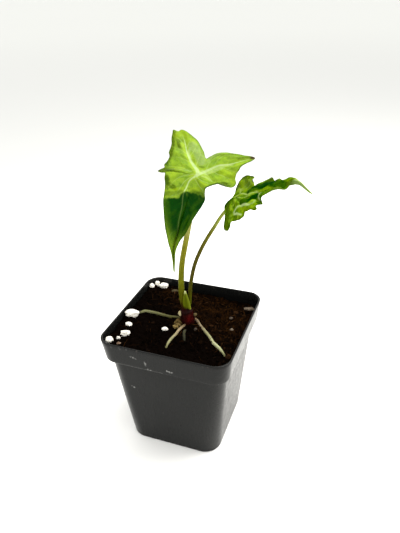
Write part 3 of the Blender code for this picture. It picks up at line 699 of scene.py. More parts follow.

# %% [markdown]
# ## Veins and tints
#
# Each leaf has three broad ribs, one to the tip and one to each lobe, and thinner side veins that leave
# them. They are lines on the flat plan of the blade, ahead along the midrib and then aside, and a rib's
# row starts with its half width at root and tip. A tint is a soft brush stroke along a line, with a half
# width and a strength, for what the leaf shows there: olive margins, a pale fold, and dry brown at a tip.
# Many strokes are painted light: painted highlights along the crests of folds and where the blade is lit,
# a painted grey sheen, and painted shade on the half that hangs away from the light and in valleys, with a
# lighter painted half-shade inside it.

# %% Veins
RIBS = {
    "upright": (
        (50, 10, 0, 0, 39, -15, 78, -9, 123, 0, 172, 25, 230, 45, 275, 64, 321, 80, 371, 93, 438, 108),
        (105, 10, -10, 2, -30, -10, -47, -44, -71, -89, -104, -128, -139, -161, -178, -206),
        (85, 10, 0, 0, -57, 27, -112, 59, -155, 106, -195, 146, -244, 190),
    ),
    "arching": (
        (10, 2, 0, 0, 42, 8, 76, 10, 125, 4, 170, -8, 222, -16, 280, -14, 340, -4, 430, 5),
        (6, 2, 0, 0, 5, -50, -5, -110, -25, -155), (10, 2, 0, 0, 15, 50, 10, 105, -6, 146),
    ),
}
SIDE_VEINS = {
    "upright": (
        (-3, -15, 33, -55, 73, -78, 110, -83, 160, -94), (14, -16, 52, -34, 126, -35, 174, -52),
        (-9, -35, 14, -88, 41, -147, 56, -186), (-26, -26, -12, -36, 3, -90, 29, -148),
        (-56, -64, -44, -126, -24, -174), (-86, -110, -86, -164, -74, -212),
        (-129, -152, -138, -196, -132, -246), (-44, -34, -90, -46, -130, -60, -166, -92),
        (-76, -96, -124, -96, -170, -110, -196, -142), (-116, -138, -164, -146, -206, -166),
        (-41, 22, -37, 50, -11, 101, -20, 140, -34, 192), (13, -5, 39, 46, 57, 78, 84, 104),
        (4, 2, 12, 52, 16, 116), (-80, 40, -72, 86, -74, 134, -84, 192), (-126, 74, -122, 116, -126, 170),
        (-52, 25, -96, 14, -144, 14, -194, 36), (-96, 49, -146, 40, -196, 56, -224, 96),
        (-146, 96, -194, 94, -236, 132), (78, -9, 106, 26, 126, 68, 124, 114),
        (123, 0, 160, 36, 188, 80, 200, 124), (172, 25, 210, 54, 242, 94, 254, 118),
        (230, 45, 268, 72, 302, 110), (100, -5, 146, -32, 194, -72), (150, 14, 196, -10, 250, -44),
        (204, 36, 250, 16, 302, -2), (264, 60, 310, 46, 356, 52),
    ),
    "arching": (
        (6, -6, 21, -25, 55, -65, 92, -98, 124, -104), (42, 8, 80, -26, 120, -68, 154, -114, 202, -152),
        (86, 9, 130, -26, 174, -68, 214, -104), (134, 1, 180, -36, 224, -64, 250, -84),
        (200, -20, 244, -42, 284, -54), (270, -20, 306, -32, 334, -38), (4, -54, 44, -90, 66, -140, 64, -178),
        (-1, -88, 26, -126, 30, -166), (3, -68, -26, -90, -52, -96), (16, 54, 50, 82, 64, 124),
        (12, 90, 34, 116, 42, 144), (14, 66, -16, 84, -30, 94), (36, 7, 66, 42, 84, 82),
        (88, 10, 126, 42, 152, 92), (138, 0, 176, 34, 212, 84), (194, -18, 230, 24, 264, 66),
        (252, -22, 286, 8, 316, 32),
    ),
}
SIDE_VEIN_HALF = (16, 5)


def vein_gap(level, rows):
    """Distance from the nearest line's own edge: its half width narrows along it."""
    gap = np.full(level.shape[:-1], 1e9)
    for way, root_half, tip_half in lines_of(rows):
        away, along = line_to(level, curve_through(way, 4))
        gap = np.minimum(gap, away - (root_half + (tip_half - root_half) * along))
    return gap


# %% Tints
TINTS_AND_PAINTED_LIGHT = {
    "upright": {
        "olive": (
            (240, 95, -152, -243, -119, -227, -71, -203, -25, -184, 16, -177),
            (180, 90, -126, -201, -99, -169), (160, 90, -145, -179, -133, -157),
            (220, 70, -156, -230, -131, -207), (220, 95, 89, -127, 113, -94, 118, -62),
            (160, 80, 120, -110, 141, -88), (200, 70, -139, 1, -183, 15, -194, 51, -224, 85),
            (180, 60, -187, 80, -210, 119), (100, 80, 28, 99, 6, 117, -34, 134, -44, 160),
            (160, 70, 87, -7, 76, 23, 75, 63), (200, 80, -210, 130, -240, 180),
            (140, 50, 165, -95, 142, -50, 106, -12),
        ),
        # Painted shade: dark strokes where the blade turns away from the light.
        "painted_shade": (
            (220, 45, 170, -86, 144, -44, 114, -14), (260, 45, 86, 36, 80, 96), (150, 50, 16, -182, 26, -162),
            (180, 45, 94, -122, 116, -106), (100, 60, 52, 94, 16, 118, -18, 142, -37, 178),
            (90, 60, -146, 174, -172, 184), (70, 50, -58, -17, -66, 5),
        ),
        "pale": (
            (300, 100, 12, -8, -22, 2, -46, 20), (300, 95, -89, -102, -56, -53, -39, -16, -37, 12),
            (280, 90, -35, -3, -30, 27, -28, 55), (200, 80, -39, 36, -78, 55, -110, 76, -143, 101),
            (100, 50, -35, 68, -26, 94, 3, 118), (220, 60, -9, -88, 23, -100, 62, -111),
            (160, 50, 56, -47, 70, -69, 94, -93), (120, 100, 173, -67, 159, -61, 138, -50),
            (90, 80, 160, -30, 134, -21, 106, -17),
            (250, 100, -26, -12, -54, -65, -77, -101, -100, -131, -121, -162),
            (160, 50, -42, 23, -96, 50, -135, 84), (170, 50, 162, -84, 154, -50, 116, -12, 84, 24),
            (90, 50, -37, 50, -11, 101), (100, 40, 64, 92, 84, 114),
        ),
        # Partly painted highlights along the crests of folds, partly pale tissue round the hub.
        "crest_highlight_and_pale": (
            (120, 60, 4, -3, -22, 4, -42, 19), (110, 60, -18, -6, -40, -32, -64, -78),
            (180, 50, -37, 12, -45, 31, -72, 48, -116, 80), (90, 30, -17, 26, -23, 50, -14, 86),
            (100, 60, -124, -121, -91, -107, -74, -85), (70, 50, -118, 79, -143, 101, -161, 124),
        ),
        # Painted sheen: a grey-green reflection on the left lobe, and a paler strip along the top margin.
        "sheen": (
            (360, 100, -149, -118, -132, -85, -108, -48, -89, -25),
            (120, 60, -102, 1, -155, 1, -208, 26, -239, 81, -258, 176),
        ),
        # Painted highlights where the blade is lit.
        "lit": (
            (240, 90, -144, -216, -184, -214, -182, -164, -170, -120),
            (320, 80, -85, 105, -113, 147, -77, 173), (260, 50, 20, -120, 66, -100),
            (180, 90, 168, -69, 144, -56, 119, -43, 100, -25), (200, 80, 75, 21, 53, 55, 36, 72),
            (180, 70, 22, 23, 30, 55), (160, 70, 345, 90, 319, 82, 293, 83),
            (200, 60, -193, -221, -177, -173, -150, -128),
        ),
        # Lighter painted half-shade, laid only inside the painted shade.
        "green": (
            (260, 75, 180, -80, 240, -50, 296, -8, 344, 30, 380, 66),
            (240, 60, 170, 106, 200, 116, 260, 116, 310, 118, 360, 128),
            (400, 100, 310, 70, 380, 96, 440, 108), (120, 40, 200, 34, 275, 64, 340, 92),
            (160, 50, 201, -44, 234, -19, 270, 10, 306, 42), (160, 40, 160, 78, 123, 85, 100, 99),
            (120, 40, 224, 50, 194, 43, 149, 34), (130, 60, 280, 84, 243, 78, 196, 82),
        ),
        "dry": (
            (190, 100, -248, 192, -262, 216), (90, 70, 59, -194, 66, -206),
        ),
    },
    "arching": {
        "olive": (
            (110, 100, -37, 78, -33, 104, -23, 142, -8, 157, 18, 154),
            (260, 85, -32, -40, -10, -84, -8, -119, 0, -159), (200, 90, -30, -149, 17, -180),
            (100, 90, 121, -131, 128, -165, 112, -179, 68, -164), (120, 90, 181, 79, 204, 89),
            (80, 80, 253, 72, 289, 27), (180, 60, 64, 37, 50, 83, 24, 127),
            (160, 80, 305, -9, 321, -4, 342, 14, 365, 18), (80, 80, 75, -106, 62, -87),
            (100, 90, 197, -151, 211, -160), (90, 60, 51, -146, 72, -146, 109, -167),
        ),
        # Painted shade: the valleys and the part of the blade that turns away from the light.
        "painted_shade": (
            (420, 100, 88, 40, 114, 42, 140, 42, 180, 48, 221, 42, 261, 16, 292, -5),
            (230, 95, 92, -81, 123, -99, 135, -88, 153, -71, 178, -65, 185, -55),
            (100, 80, 216, -62, 212, -81, 210, -91), (130, 75, 195, -106, 216, -117),
            (140, 85, -48, -44, -32, -36, -20, -20, -15, -11), (90, 70, -23, -117, -25, -126),
            (60, 90, 67, 112, 74, 103), (60, 70, 48, 144, 58, 142), (90, 60, 303, -12, 318, -9),
            (80, 60, 23, -180, 30, -174),
        ),
        # Painted highlights along the crests of folds; the last stroke paints the thin tail pale.
        "crest_highlight_and_pale": (
            (55, 100, 53, -127, 58, -118, 73, -116, 86, -116, 105, -108, 135, -114, 153, -116),
            (50, 50, 153, -116, 174, -109, 176, -91), (60, 100, 55, -133, 66, -134, 94, -149, 111, -156),
            (50, 60, 184, -32, 197, -68, 193, -76, 204, -87),
            (60, 50, 3, 7, 19, 23, 54, 18, 93, 2, 119, 2, 140, 6),
            (50, 30, 28, -17, 63, -26, 84, -24, 119, -16), (70, 30, 15, 36, -1, 75),
            (240, 85, 375, 9, 396, 5, 413, 5, 447, 6),
        ),
        "pale": (
            (160, 100, -1, 0, 5, 10), (75, 85, 3, 7, 19, 23, 54, 18, 93, -2, 119, -2, 130, 6),
            (60, 60, 28, -17, 63, -30, 84, -22, 119, -34, 122, -6), (80, 80, 15, 36, -1, 75),
            (100, 70, 14, -27, 43, -76, 33, -86), (120, 70, 28, -97, 30, -106),
            (80, 70, 67, -78, 104, -99, 134, -111, 156, -104, 169, -94), (80, 80, 33, 130, 62, 104, 74, 91),
            (80, 50, -6, 52, -20, 84), (70, 80, 88, -156, 93, -165), (100, 50, 28, -136, 40, -139),
            (100, 50, 25, -154, 43, -165), (100, 50, 270, 26, 283, 27),
            (160, 100, 365, 16, 396, 5, 413, 5, 447, 6),
        ),
        "sheen": (
            (160, 100, 416, 5, 447, 6),
        ),
        # Painted highlights where the blade is lit.
        "lit": (
            (180, 50, 106, -126, 139, -125, 181, -135), (130, 90, -2, 0, 18, 7, 36, 15),
            (100, 80, -16, 87, 5, 60, 14, 43), (220, 60, -9, 122, 2, 95, 39, 47),
            (90, 100, 132, 5, 155, 9, 185, 2, 203, 3, 226, -2), (80, 50, 72, -5, 110, -15),
        ),
        # Lighter painted half-shade, laid only inside the painted shade.
        "green": (
            (160, 100, 91, 25, 103, 30, 120, 33), (160, 80, 110, 66, 170, 82, 220, 84),
            (280, 100, 241, 48, 261, 16, 292, -5, 313, 1), (140, 100, 92, -81, 123, -99),
            (140, 100, 216, -62, 212, -81, 210, -91, 199, -108), (100, 100, -23, -117, -25, -126),
            (140, 90, -48, -44, -32, -36, -20, -20, -15, -11),
        ),
        "dry": (
            (50, 30, 48, 144, 58, 142),
        ),
    },
}
FINE_FOLDS = {
    "upright": (
        (45, 150, 186, -80, 156, -36, 116, -4, 84, 38, 76, 98),
        (50, 180, -150, -204, -105, -196, -55, -173, -4, -150), (-45, 150, -92, 14, -135, 42, -175, 80),
        (40, 120, 60, 80, 16, 102, -22, 128, -56, 170),
    ),
    "arching": (
        (60, 90, 53, -127, 58, -118, 86, -116, 105, -108, 135, -114, 176, -91),
        (-50, 160, 80, -70, 123, -90, 153, -71, 185, -55), (40, 90, 16, -25, 44, -65, 72, -98),
        (-50, 140, -15, -80, 5, -120, 0, -160), (-45, 130, 34, 50, 36, 90, 26, 130),
        (35, 100, 84, 18, 140, 16, 200, 6, 270, -8),
    ),
}
# Where the painted shade of the upright leaf's hanging half begins, and how ragged its edge is.
DARK_HALF_START, DARK_HALF_STEP, DARK_HALF_RAG = 13.3, (5.1, 1.2, 3.2), 1.8


def brushed(level, rows):
    """The strongest of the strokes at each point: full inside 0.35 of its half width."""
    mask = np.zeros(level.shape[:-1])
    for way, half_width, strength in lines_of(rows):
        away, _ = line_to(level, curve_through(way, 4))
        mask = np.maximum(mask, strength * (1 - eased(away, 0.35 * half_width, half_width)))
    return mask


def hanging_half(level, edge):
    """Painted shade: 1 past the line where the upright leaf turns down, away from the light: start - step
    tanh((y + a) / b).
    """
    ahead, aside = level[..., 0], level[..., 1]
    step, shift, spread = DARK_HALF_STEP
    line = DARK_HALF_START - step * np.tanh((aside + shift) / spread)
    past = ahead - line + DARK_HALF_RAG * rough(level, 3.2, 3, seed=5)
    dark = eased(past, -1.5, 1.8 + 0.6 * eased(-aside, -2.0, 6.0))
    pale_edge = 0.32 * (1 - eased(edge, 0.2, 4.0)) * eased(ahead, 14.0, 20.0)
    return dark * (1 - 0.80 * eased(ahead, 23.0, 40.0)) * (1 - pale_edge)


print("side veins:", {name: len(rows) for name, rows in SIDE_VEINS.items()})

# %% [markdown]
# ## The leaf's finish
#
# Fresh leaf tissue is satin, a little translucent, and never one colour. The finish mixes lime and mid
# green in clouds, darkened and lightened by painted shade and light from the blade's relief, lays the tints
# and the painted light over them, and draws the ribs and side veins where their distance falls to
# nothing. Between them runs the fine net of a leaf: the edges of small cells, paler and slightly raised.
# The underside is duller and greyer.

# %% Leaf finish
LIME, MID, OLIVE = (0.158, 0.262, 0.0006), (0.078, 0.158, 0.0004), (0.048, 0.086, 0.0003)
# The first two colours of the next line are painted shade: the darker one, which also lies thinly on the fine
# net, and a lighter half-shade inside it.
SHADE_AND_NET_GREEN, HALF_SHADE_GREEN, FERN = (0.0010, 0.031, 0.0), (0.025, 0.078, 0.0002), (0.045, 0.108, 0.0003)
# LIT is a painted highlight, and SHEEN on the next line a painted sheen.
LIT, SOFT, PALE = (0.225, 0.318, 0.004), (0.230, 0.335, 0.020), (0.33, 0.43, 0.165)
SHEEN, MILKY = (0.19, 0.27, 0.075), (0.25, 0.37, 0.085)
DRY, UNDERSIDE = (0.040, 0.026, 0.012), (0.105, 0.170, 0.030)


def leaf_finish():
    """Tints, painted shade and painted highlights, ribs, side veins and the fine net, over clouds of two
    greens.
    """
    paint = Finish("leaf_blade", Specular_IOR_Level=0.0, Coat_Roughness=0.34, Coat_IOR=1.42,
                   Subsurface_Weight=0.15, Subsurface_Radius=(0.5, 1.0, 0.1), Subsurface_Scale=0.5 * MM)
    plan = paint.mark("plan", "Vector")
    cloud, fleck = paint.cloudy(plan, 4.2, 5.0, 0.62, 0.6), paint.cloudy(plan, 1.3, 4.0, 0.7)
    wander = paint.node("TexNoise", {}, {"Vector": plan, "Scale": 1.0 / (1.6 * MM)}, out="Color")
    bent = paint.node("VectorMath", {"operation": "MULTIPLY_ADD"}, {0: wander, 1: (0.9 * MM,) * 3, 2: plan})
    net = 1 - paint.band(paint.cells(bent, 1.9, "DISTANCE_TO_EDGE"), 0.0, 0.12)
    fine_net = 1 - paint.band(paint.cells(bent, 0.6, "DISTANCE_TO_EDGE"), 0.0, 0.16)
    rib_gap, side_gap, dim = paint.mark("rib_gap"), paint.mark("vein_gap"), paint.mark("dim")
    rib, halo = 1 - paint.band(rib_gap, -0.3, 0.12), 1 - paint.band(rib_gap, -0.1, 1.9)
    vein, beside = 1 - paint.band(side_gap, -0.06, 0.17), 1 - paint.band(side_gap, 0.0, 1.1)
    painted_shade, under = paint.mark("painted_shade"), paint.mark("under")
    ragged = (cloud - 0.5) * 0.5 + (fleck - 0.5) * 0.35
    # The tone is random clouds plus painted shade and light from the blade's relief.
    tone = cloud * 0.5 + fleck * 0.5 + paint.mark("relief_shade") * (0.10 + dim * 0.04)
    # dark is the painted shade with a ragged edge; keep is the rest of the blade.
    dark = paint.band(painted_shade + ragged * 0.5 * (1 - painted_shade), 0.04, 0.92)
    keep = 1 - dark
    # Painted light in this mix: LIT on the brightest tone and the lit strokes, and the pale strokes along
    # fold crests, are painted highlights; SHEEN is a painted sheen; what is laid by dark is painted shade,
    # with a lighter half-shade inside it.
    colour = paint.blend(
        MID, (LIME, paint.band(tone, 0.32, 0.62)), (LIT, paint.band(tone, 0.60, 0.80) * 0.8),
        (MID, dim * 0.55), (FERN, paint.band(dim * (0.58 - tone), 0.0, 0.14)),
        (MILKY, (1 - paint.band(dim, 0.0, 0.1)) * 0.17),
        (OLIVE, paint.band(paint.mark("rim") + ragged, 0.35, 1.1) * 0.75),
        (OLIVE, paint.band(paint.mark("olive") + ragged, 0.12, 1.0) * 0.9),
        (LIT, paint.mark("lit") * (fleck * 0.9 + 0.1)), (SHEEN, paint.mark("sheen") * (fleck * 0.6 + 0.45)),
        (SOFT, paint.mark("pale") * (fleck * 0.5 + 0.5)), (SHADE_AND_NET_GREEN, dark),
        (HALF_SHADE_GREEN, paint.mark("green") * dark * (fleck * 0.9 + 0.45)),
        (HALF_SHADE_GREEN, dark * paint.band(tone, 0.5, 0.72) * 0.35), (SOFT, net * keep * (0.20 - dim * 0.12)),
        (SHADE_AND_NET_GREEN, fine_net * 0.10), (SOFT, halo * keep * (0.45 - dim * 0.45)),
        (SOFT, beside * keep * (0.14 - dim * 0.12)), (HALF_SHADE_GREEN, vein * dark * 0.22), (SHEEN, rib * dark * 0.26),
        (PALE, vein * keep * (0.30 - dim * 0.30)), (PALE, rib * keep * (0.9 - dim * 0.6)),
        (PALE, paint.mark("crest_highlight_and_pale") * 0.80), (DRY, paint.mark("dry")), (UNDERSIDE, under * 0.75))
    return paint.done(colour, 0.38 + fleck * 0.14 + under * 0.2,
                      net * 0.3 - rib * 0.4 + fine_net * 0.12 + fleck * 0.4, 0.6, 0.16,
                      Coat_Weight=0.10 - dim * 0.10)


LEAF_FINISH = leaf_finish()

# %% [markdown]
# ## Growing the blades
#
# The blade is a thin closed shell. Its middle surface is the fan described above, and both faces are moved
# off it along the surface's own normal. Tissue swells between the veins, and the ribs stand out underneath,
# so the net shows even where the colour is plain. The crinkles, the swelling and the fine folds are also
# painted into the colour as painted shade and light. The last few rings lie close to the margin and thin
# out to a rounded edge.

# %% Leaves
BLADE, BLADE_EDGE = 0.46, 0.975
QUILT, QUILT_WIDTH, RIB_DEPTH, RIM_WIDTH = 0.5, 1.7, 0.5, 1.5
SHARES = np.concatenate([np.linspace(0.03, 0.96, 52), (0.975, 0.985, 0.992, 0.997, 1.0)])
SEAT_MARKS = {"rib_gap": -0.7, "vein_gap": 1.0, "pale": 0.7}


def both(values, ends):
    """Values of the top rows, then of the bottom ones, then of the two end points."""
    return np.concatenate([values.reshape(-1, *ends[0].shape), values[-2::-1].reshape(-1, *ends[0].shape),
                           ends])


def make_leaf(name):
    """Both faces of a blade as one closed skin, with what its finish needs at each point."""
    leaf = LEAVES[name]
    margin = margin_of(name, 6)
    level = margin[None, :, :2] * SHARES[:, None, None]
    lift = (margin[:, 2] + bend(margin[:, 0], *leaf["droop"])) * SHARES[:, None] ** 2
    lift = lift - bend(level[..., 0], *leaf["droop"]) + fold_lift(level, FOLDS[name])
    ribs = vein_gap(level, RIBS[name])
    sides = vein_gap(level, [(*SIDE_VEIN_HALF, *row) for row in SIDE_VEINS[name]])
    edge, _ = line_to(level, margin_of(name, 3)[:, :2])
    nearest = np.minimum(np.maximum(ribs, 0.0), np.maximum(sides, 0.0))
    swell = QUILT * (1 - np.exp(-(nearest / QUILT_WIDTH) ** 2)) - QUILT / 2
    crinkle = rough(level, 5.2, 3, seed=3)
    lift = lift + swell * eased(edge, 0.0, 1.6)
    lift = lift + leaf["crinkle"] * crinkle * eased(np.linalg.norm(level, axis=-1), 2.0, 9.0)
    # Painted shade and light from the relief: darker by the veins and in the crinkles' dips, lighter where
    # the tissue swells.
    relief_shade = crinkle + 1.6 * swell / QUILT
    # Each fine fold also adds painted light on its ridge and painted shade in its channel.
    for way, rise, half_width in lines_of(FINE_FOLDS[name]):
        away, along = line_to(level, curve_through(way, 4))
        ridge = rise * np.exp(-(away / half_width) ** 2) * np.sin(np.pi * np.clip(along, 0.06, 0.94))
        lift, relief_shade = lift + ridge, relief_shade + 1.6 * ridge
    axes, seat = leaf_axes(leaf), np.array(leaf["seat"])
    aside = level[..., 1] + bend(level[..., 0], *leaf["hook"])
    middle = seat + np.dstack([level[..., 0], aside, lift]) @ axes
    round_it = np.roll(middle, -1, axis=1) - np.roll(middle, 1, axis=1)
    normal = unit(np.cross(np.gradient(middle, axis=0), round_it))
    normal *= np.sign(normal @ axes[2]).mean().round() or 1.0
    thin = np.sqrt(1 - np.clip((SHARES - BLADE_EDGE) / (1 - BLADE_EDGE), 0, 1) ** 2)[:, None]
    half = BLADE / 2 * thin
    keel = RIB_DEPTH * np.clip(-ribs + 0.35, 0.0, 1.0) + 0.18 * np.clip(0.22 - sides, 0.0, 1.0)
    top, bottom = middle + normal * half[..., None], middle - normal * (half + keel * thin)[..., None]
    shell = skin(np.concatenate([top, bottom[-2::-1]]),
                 seat + axes[2] * BLADE / 2, seat - axes[2] * (BLADE / 2 + 0.3))
    near, far = leaf["dim"]
    marks = {"rib_gap": ribs, "vein_gap": sides, "relief_shade": relief_shade, "rim": 1 - eased(edge, 0.15, RIM_WIDTH),
             "dim": near + (far - near) * eased(level[..., 1], 2.0, 7.0),
             **{key: brushed(level, rows) for key, rows in TINTS_AND_PAINTED_LIGHT[name].items()}}
    # The upright leaf's hanging half is painted shade too.
    if name == "upright":
        marks["painted_shade"] = np.maximum(marks["painted_shade"], hanging_half(level, edge))
    marks = {key: both(values, np.full(2, SEAT_MARKS.get(key, 0.0))) for key, values in marks.items()}
    marks["under"] = np.repeat([0.0, 1.0, 0.0, 1.0], [ribs.size, ribs.size - ribs.shape[1], 1, 1])
    marks["plan"] = both(xyz(level[..., 0], level[..., 1], 0.0), np.zeros((2, 3))) * MM
    make_piece(f"blade_{name}", shell, LEAF_FINISH, "leaf_blade", f"leaf_{name}", marks)


for name in LEAVES:
    make_leaf(name)

# %% [markdown]
# ## Tubes
#
# A stem is a line of centres, each with a radius. Round every centre lies a ring of points, turned so that
# its first point always faces the same way. That keeps the tube from twisting. Both ends close with a few
# smaller rings, like a thumb. Each point also carries its place on the unrolled skin, so fibres in the
# finish can run along the stem.

# %% Tubes
END_TURNS = np.radians((25.0, 50.0, 72.0))[:, None]
RIB_COUNT = 7


def tube(path, sides, reference, ribs=0.0, swell=0.0, seed=0):
    """Shell round a path of (x, y, z, radius), with each point's share along and unrolled place."""
    path = np.asarray(path, float)
    centre, radius = path[:, :3], path[:, 3:]
    tangent = unit(np.gradient(centre, axis=0))
    caps = []
    for index, sign in ((0, -1.0), (-1, 1.0)):
        reach = sign * tangent[index] * radius[index]
        caps.append((centre[index] + reach * np.sin(END_TURNS), radius[index] * np.cos(END_TURNS),
                     centre[index] + reach))
    centre = np.vstack([caps[0][0][::-1], centre, caps[1][0]])
    radius = np.vstack([caps[0][1][::-1], radius, caps[1][1]])
    tangent = np.pad(tangent, ((3, 3), (0, 0)), mode="edge")
    first = unit(np.array(reference) - tangent * (tangent @ np.array(reference))[:, None])[:, None]
    second = np.cross(tangent[:, None], first)
    angle = turn_of(sides)
    around = circle(angle)
    length = np.concatenate([[0.0], np.cumsum(np.linalg.norm(np.diff(centre, axis=0), axis=1))])
    place = xyz(*around.T, length[:, None])
    shape = radius * (1 + ribs * np.cos(RIB_COUNT * angle))
    shape = shape * (1 + swell * rough(place * (1.0, 1.0, 0.5), 1.1, 3, seed))
    rings = centre[:, None] + shape[..., None] * (around[:, :1] * first + around[:, 1:] * second)
    along = np.concatenate([np.repeat(length / length[-1], sides), [0.0, 1.0]])
    unrolled = np.vstack([(place * (radius.mean(), radius.mean(), 1.0)).reshape(-1, 3),
                          (0.0, 0.0, 0.0), (0.0, 0.0, length[-1])])
    return skin(rings, caps[0][2], caps[1][2]), {"along": along, "unrolled": unrolled * MM}


print("a short tube has", len(tube([(0, 0, z, 1) for z in range(5)], 8, (1, 0, 0))[0][0]), "points")

# %% [markdown]
# ## The soil
#
# The potting soil fills the pot to a level that falls a little to the right and to the back, with two
# mounds where perlite has piled up. Crossed waves make its clods. The surface here starts from that same
# formula and adds what the solids leave out: the crumbly grain of peat, in four sizes of noise.

# %% Soil measurements
SOIL_LEVEL, FALL_RIGHT, FALL_BACK, SOLID_GAP = 70.2, 0.055, 0.02, 0.3
MOUNDS = ((-35.0, -3.0, 1.6, 9.0), (-34.0, 32.0, 1.4, 11.0))
CLODS, LUMPS, WARP = ((0.4, 4.1, 0.7), (0.22, 1.9, 2.9)), ((0.55, 1.38, 1.7),), 1.4
CROWN, ACROSS = np.array((0.8, 4.2, 0.0)), np.array((0.923, 0.384, 0.0))
FRONT, UPWARD = np.array((0.384, -0.923, 0.0)), np.array((0.0, 0.0, 1.0))


def from_crown(points):
    """World points from the plant's own measures: across it, forward of it, and up."""
    return CROWN + points @ np.array([ACROSS, FRONT, UPWARD])


def crossed_waves(x, y, waves):
    """Lumps in rows both ways: a product of two sines, where one wave bends the other."""
    return sum(rise * np.sin(x / size + shift + WARP * np.sin(y / size + shift))
               * np.sin(y / size - shift + WARP * np.sin(x / size - 2 * shift))
               for rise, size, shift in waves)


def ground(x, y):
    """Height that roots and grains are laid at: the soil's slope, its mounds and its clods."""
    height = SOIL_LEVEL - FALL_RIGHT * x - FALL_BACK * y
    for mx, my, rise, spread in MOUNDS:
        height = height + rise * np.exp(-((x - mx) ** 2 + (y - my) ** 2) / spread ** 2)
    return height + crossed_waves(x, y, CLODS)


def lumpy(x, y):
    """The soil's surface, with the lumps that only it has."""
    return ground(x, y) + crossed_waves(x, y, LUMPS)


def crumbly(x, y):
    """The surface with the grain of peat: noise of 3.4 mm down to 0.4 mm, sharpened upward."""
    grain = rough(xyz(x, y), 3.4, 4, seed=11, fall=0.62)
    return lumpy(x, y) + 0.4 * np.abs(grain) ** 0.8 * np.sign(grain) - 0.1


def soil_finish():
    """Moist black peat with brown fibre, browner towards the back and the right."""
    paint = Finish("potting_soil", IOR=1.4, Specular_IOR_Level=0.01)
    place = paint.place()
    x, y, _ = paint.split(place)
    fine, broad = paint.cloudy(place, 0.5, 5.0, 0.7), paint.cloudy(place, 7.0, 3.0, 0.6)
    fibre = paint.cloudy(place, 0.8, 4.0, 0.7, 1.5, scale=(1.0, 0.22, 1.0))
    brown = paint.band(x * 0.7 + y, -6.0 * MM, 34.0 * MM) * paint.band(broad, 0.38, 0.62)
    specks = paint.band(paint.cloudy(place, 0.33, 2.0, 0.6), 0.76, 0.88)
    colour = paint.blend((0.0004, 0.0002, 0.0001), ((0.0026, 0.0012, 0.0006), fine),
                         ((0.034, 0.0120, 0.0020), brown * paint.band(fibre, 0.42, 0.78)),
                         ((0.034, 0.018, 0.008), specks * 0.25))
    return paint.done(colour, 0.72 + fine * 0.25, fine + fibre * 0.5, 0.7, 0.35)


# %% Soil
SOIL_ROUNDS, SOIL_STEPS = 92, (18, 98)


def make_soil():
    """A closed skin: under the floor's edge, up the sides, and inward over the surface."""
    half = np.array([12.0 + SOLID_GAP, body_inside(FLOOR), body_inside(LEDGE), band_inside(LEDGE),
                     band_inside(SOIL_LEVEL)]) - SOLID_GAP
    up = np.array([FLOOR, FLOOR, LEDGE, LEDGE, SOIL_LEVEL - SOLID_GAP]) + SOLID_GAP
    corner = np.minimum(corner_at(up) - WALL - SOLID_GAP, half * 0.4)
    level = rounded_squares(half, corner, 0 * half, *SOIL_STEPS)
    edge = level[-1].T
    x, y = edge[:, None] * np.linspace(1.0, 0.012, SOIL_ROUNDS)[:, None]
    rings = np.concatenate([xyz(level[..., 0], level[..., 1], up[:, None])[:-1],
                            xyz(*edge * 0.999, lumpy(*edge) - 1.2)[None], xyz(x, y, crumbly(x, y))])
    shell = skin(rings, (0.0, 0.0, FLOOR + SOLID_GAP), (0.0, 0.0, *crumbly(*np.zeros((2, 1)))))
    make_piece("soil_bed", shell, soil_finish(), "potting_soil", "soil")


make_soil()

# %% [markdown]
# ## Crumbs, fibres and flakes
#
# No potting soil is a smooth sheet. Hundreds of small lumps lie half sunk in it, and threads of coir and
# chips of bark lie over it. Each kind is a single mesh. A small shape is worked out once and then copied
# by numpy, with its own size, turn, dents and tone for every copy.

# %% Scattered shapes
rng = np.random.default_rng(7)
CORNER_START, CORNER_REACH = 28.5, 6.8


def turns(count):
    """A random rotation for each copy, from random quaternions."""
    w, x, y, z = unit(rng.normal(size=(count, 4))).T
    return np.stack([xyz(1 - 2 * (y * y + z * z), 2 * (x * y - w * z), 2 * (x * z + w * y)),
                     xyz(2 * (x * y + w * z), 1 - 2 * (x * x + z * z), 2 * (y * z - w * x)),
                     xyz(2 * (x * z - w * y), 2 * (y * z + w * x), 1 - 2 * (x * x + y * y))], axis=-2)


def ball(rows, columns):
    """A unit ball as rings and two poles."""
    fall, turn = np.linspace(0, np.pi, rows + 2)[1:-1, None], turn_of(columns)
    return skin(xyz(np.sin(fall) * np.cos(turn), np.sin(fall) * np.sin(turn), np.cos(fall)),
                (0.0, 0.0, 1.0), (0.0, 0.0, -1.0))


def copies(faces, each, count):
    """The faces of a shape with each points, repeated for all of its copies."""
    shift = (np.arange(count) * each)[:, None, None]
    return [(group + shift).reshape(-1, group.shape[1]) for group in faces]


def lumps(middles, sizes, rows=3, columns=6, dent=0.22):
    """Dented balls of the given half sizes, each turned at random."""
    base, faces = ball(rows, columns)
    shape = base * (1 + dent * rng.normal(size=(len(middles), len(base), 1)))
    shape = np.einsum("kij,kpj->kpi", turns(len(middles)), shape * sizes[:, None])
    return (shape + middles[:, None]).reshape(-1, 3), copies(faces, len(base), len(middles))


def strands(paths, radii, sides=4):
    """Thin closed threads: paths (count, rows, 3) and a radius for every row."""
    count, rows = paths.shape[:2]
    tangent = unit(np.gradient(paths, axis=1))
    first = unit(np.cross(tangent, (0.31, 0.22, 0.93)))
    second = np.cross(tangent, first)
    around = circle(turn_of(sides))
    rings = paths[:, :, None] + radii[..., None, None] * (
        around[:, :1] * first[:, :, None] + around[:, 1:] * second[:, :, None])
    near = np.arange(sides)
    faces = [grid_quads(rows, sides), np.array([near[::-1], near + (rows - 1) * sides])]
    return rings.reshape(-1, 3), copies(faces, rows * sides, count)


print("a lump has", len(ball(3, 6)[0]), "points")


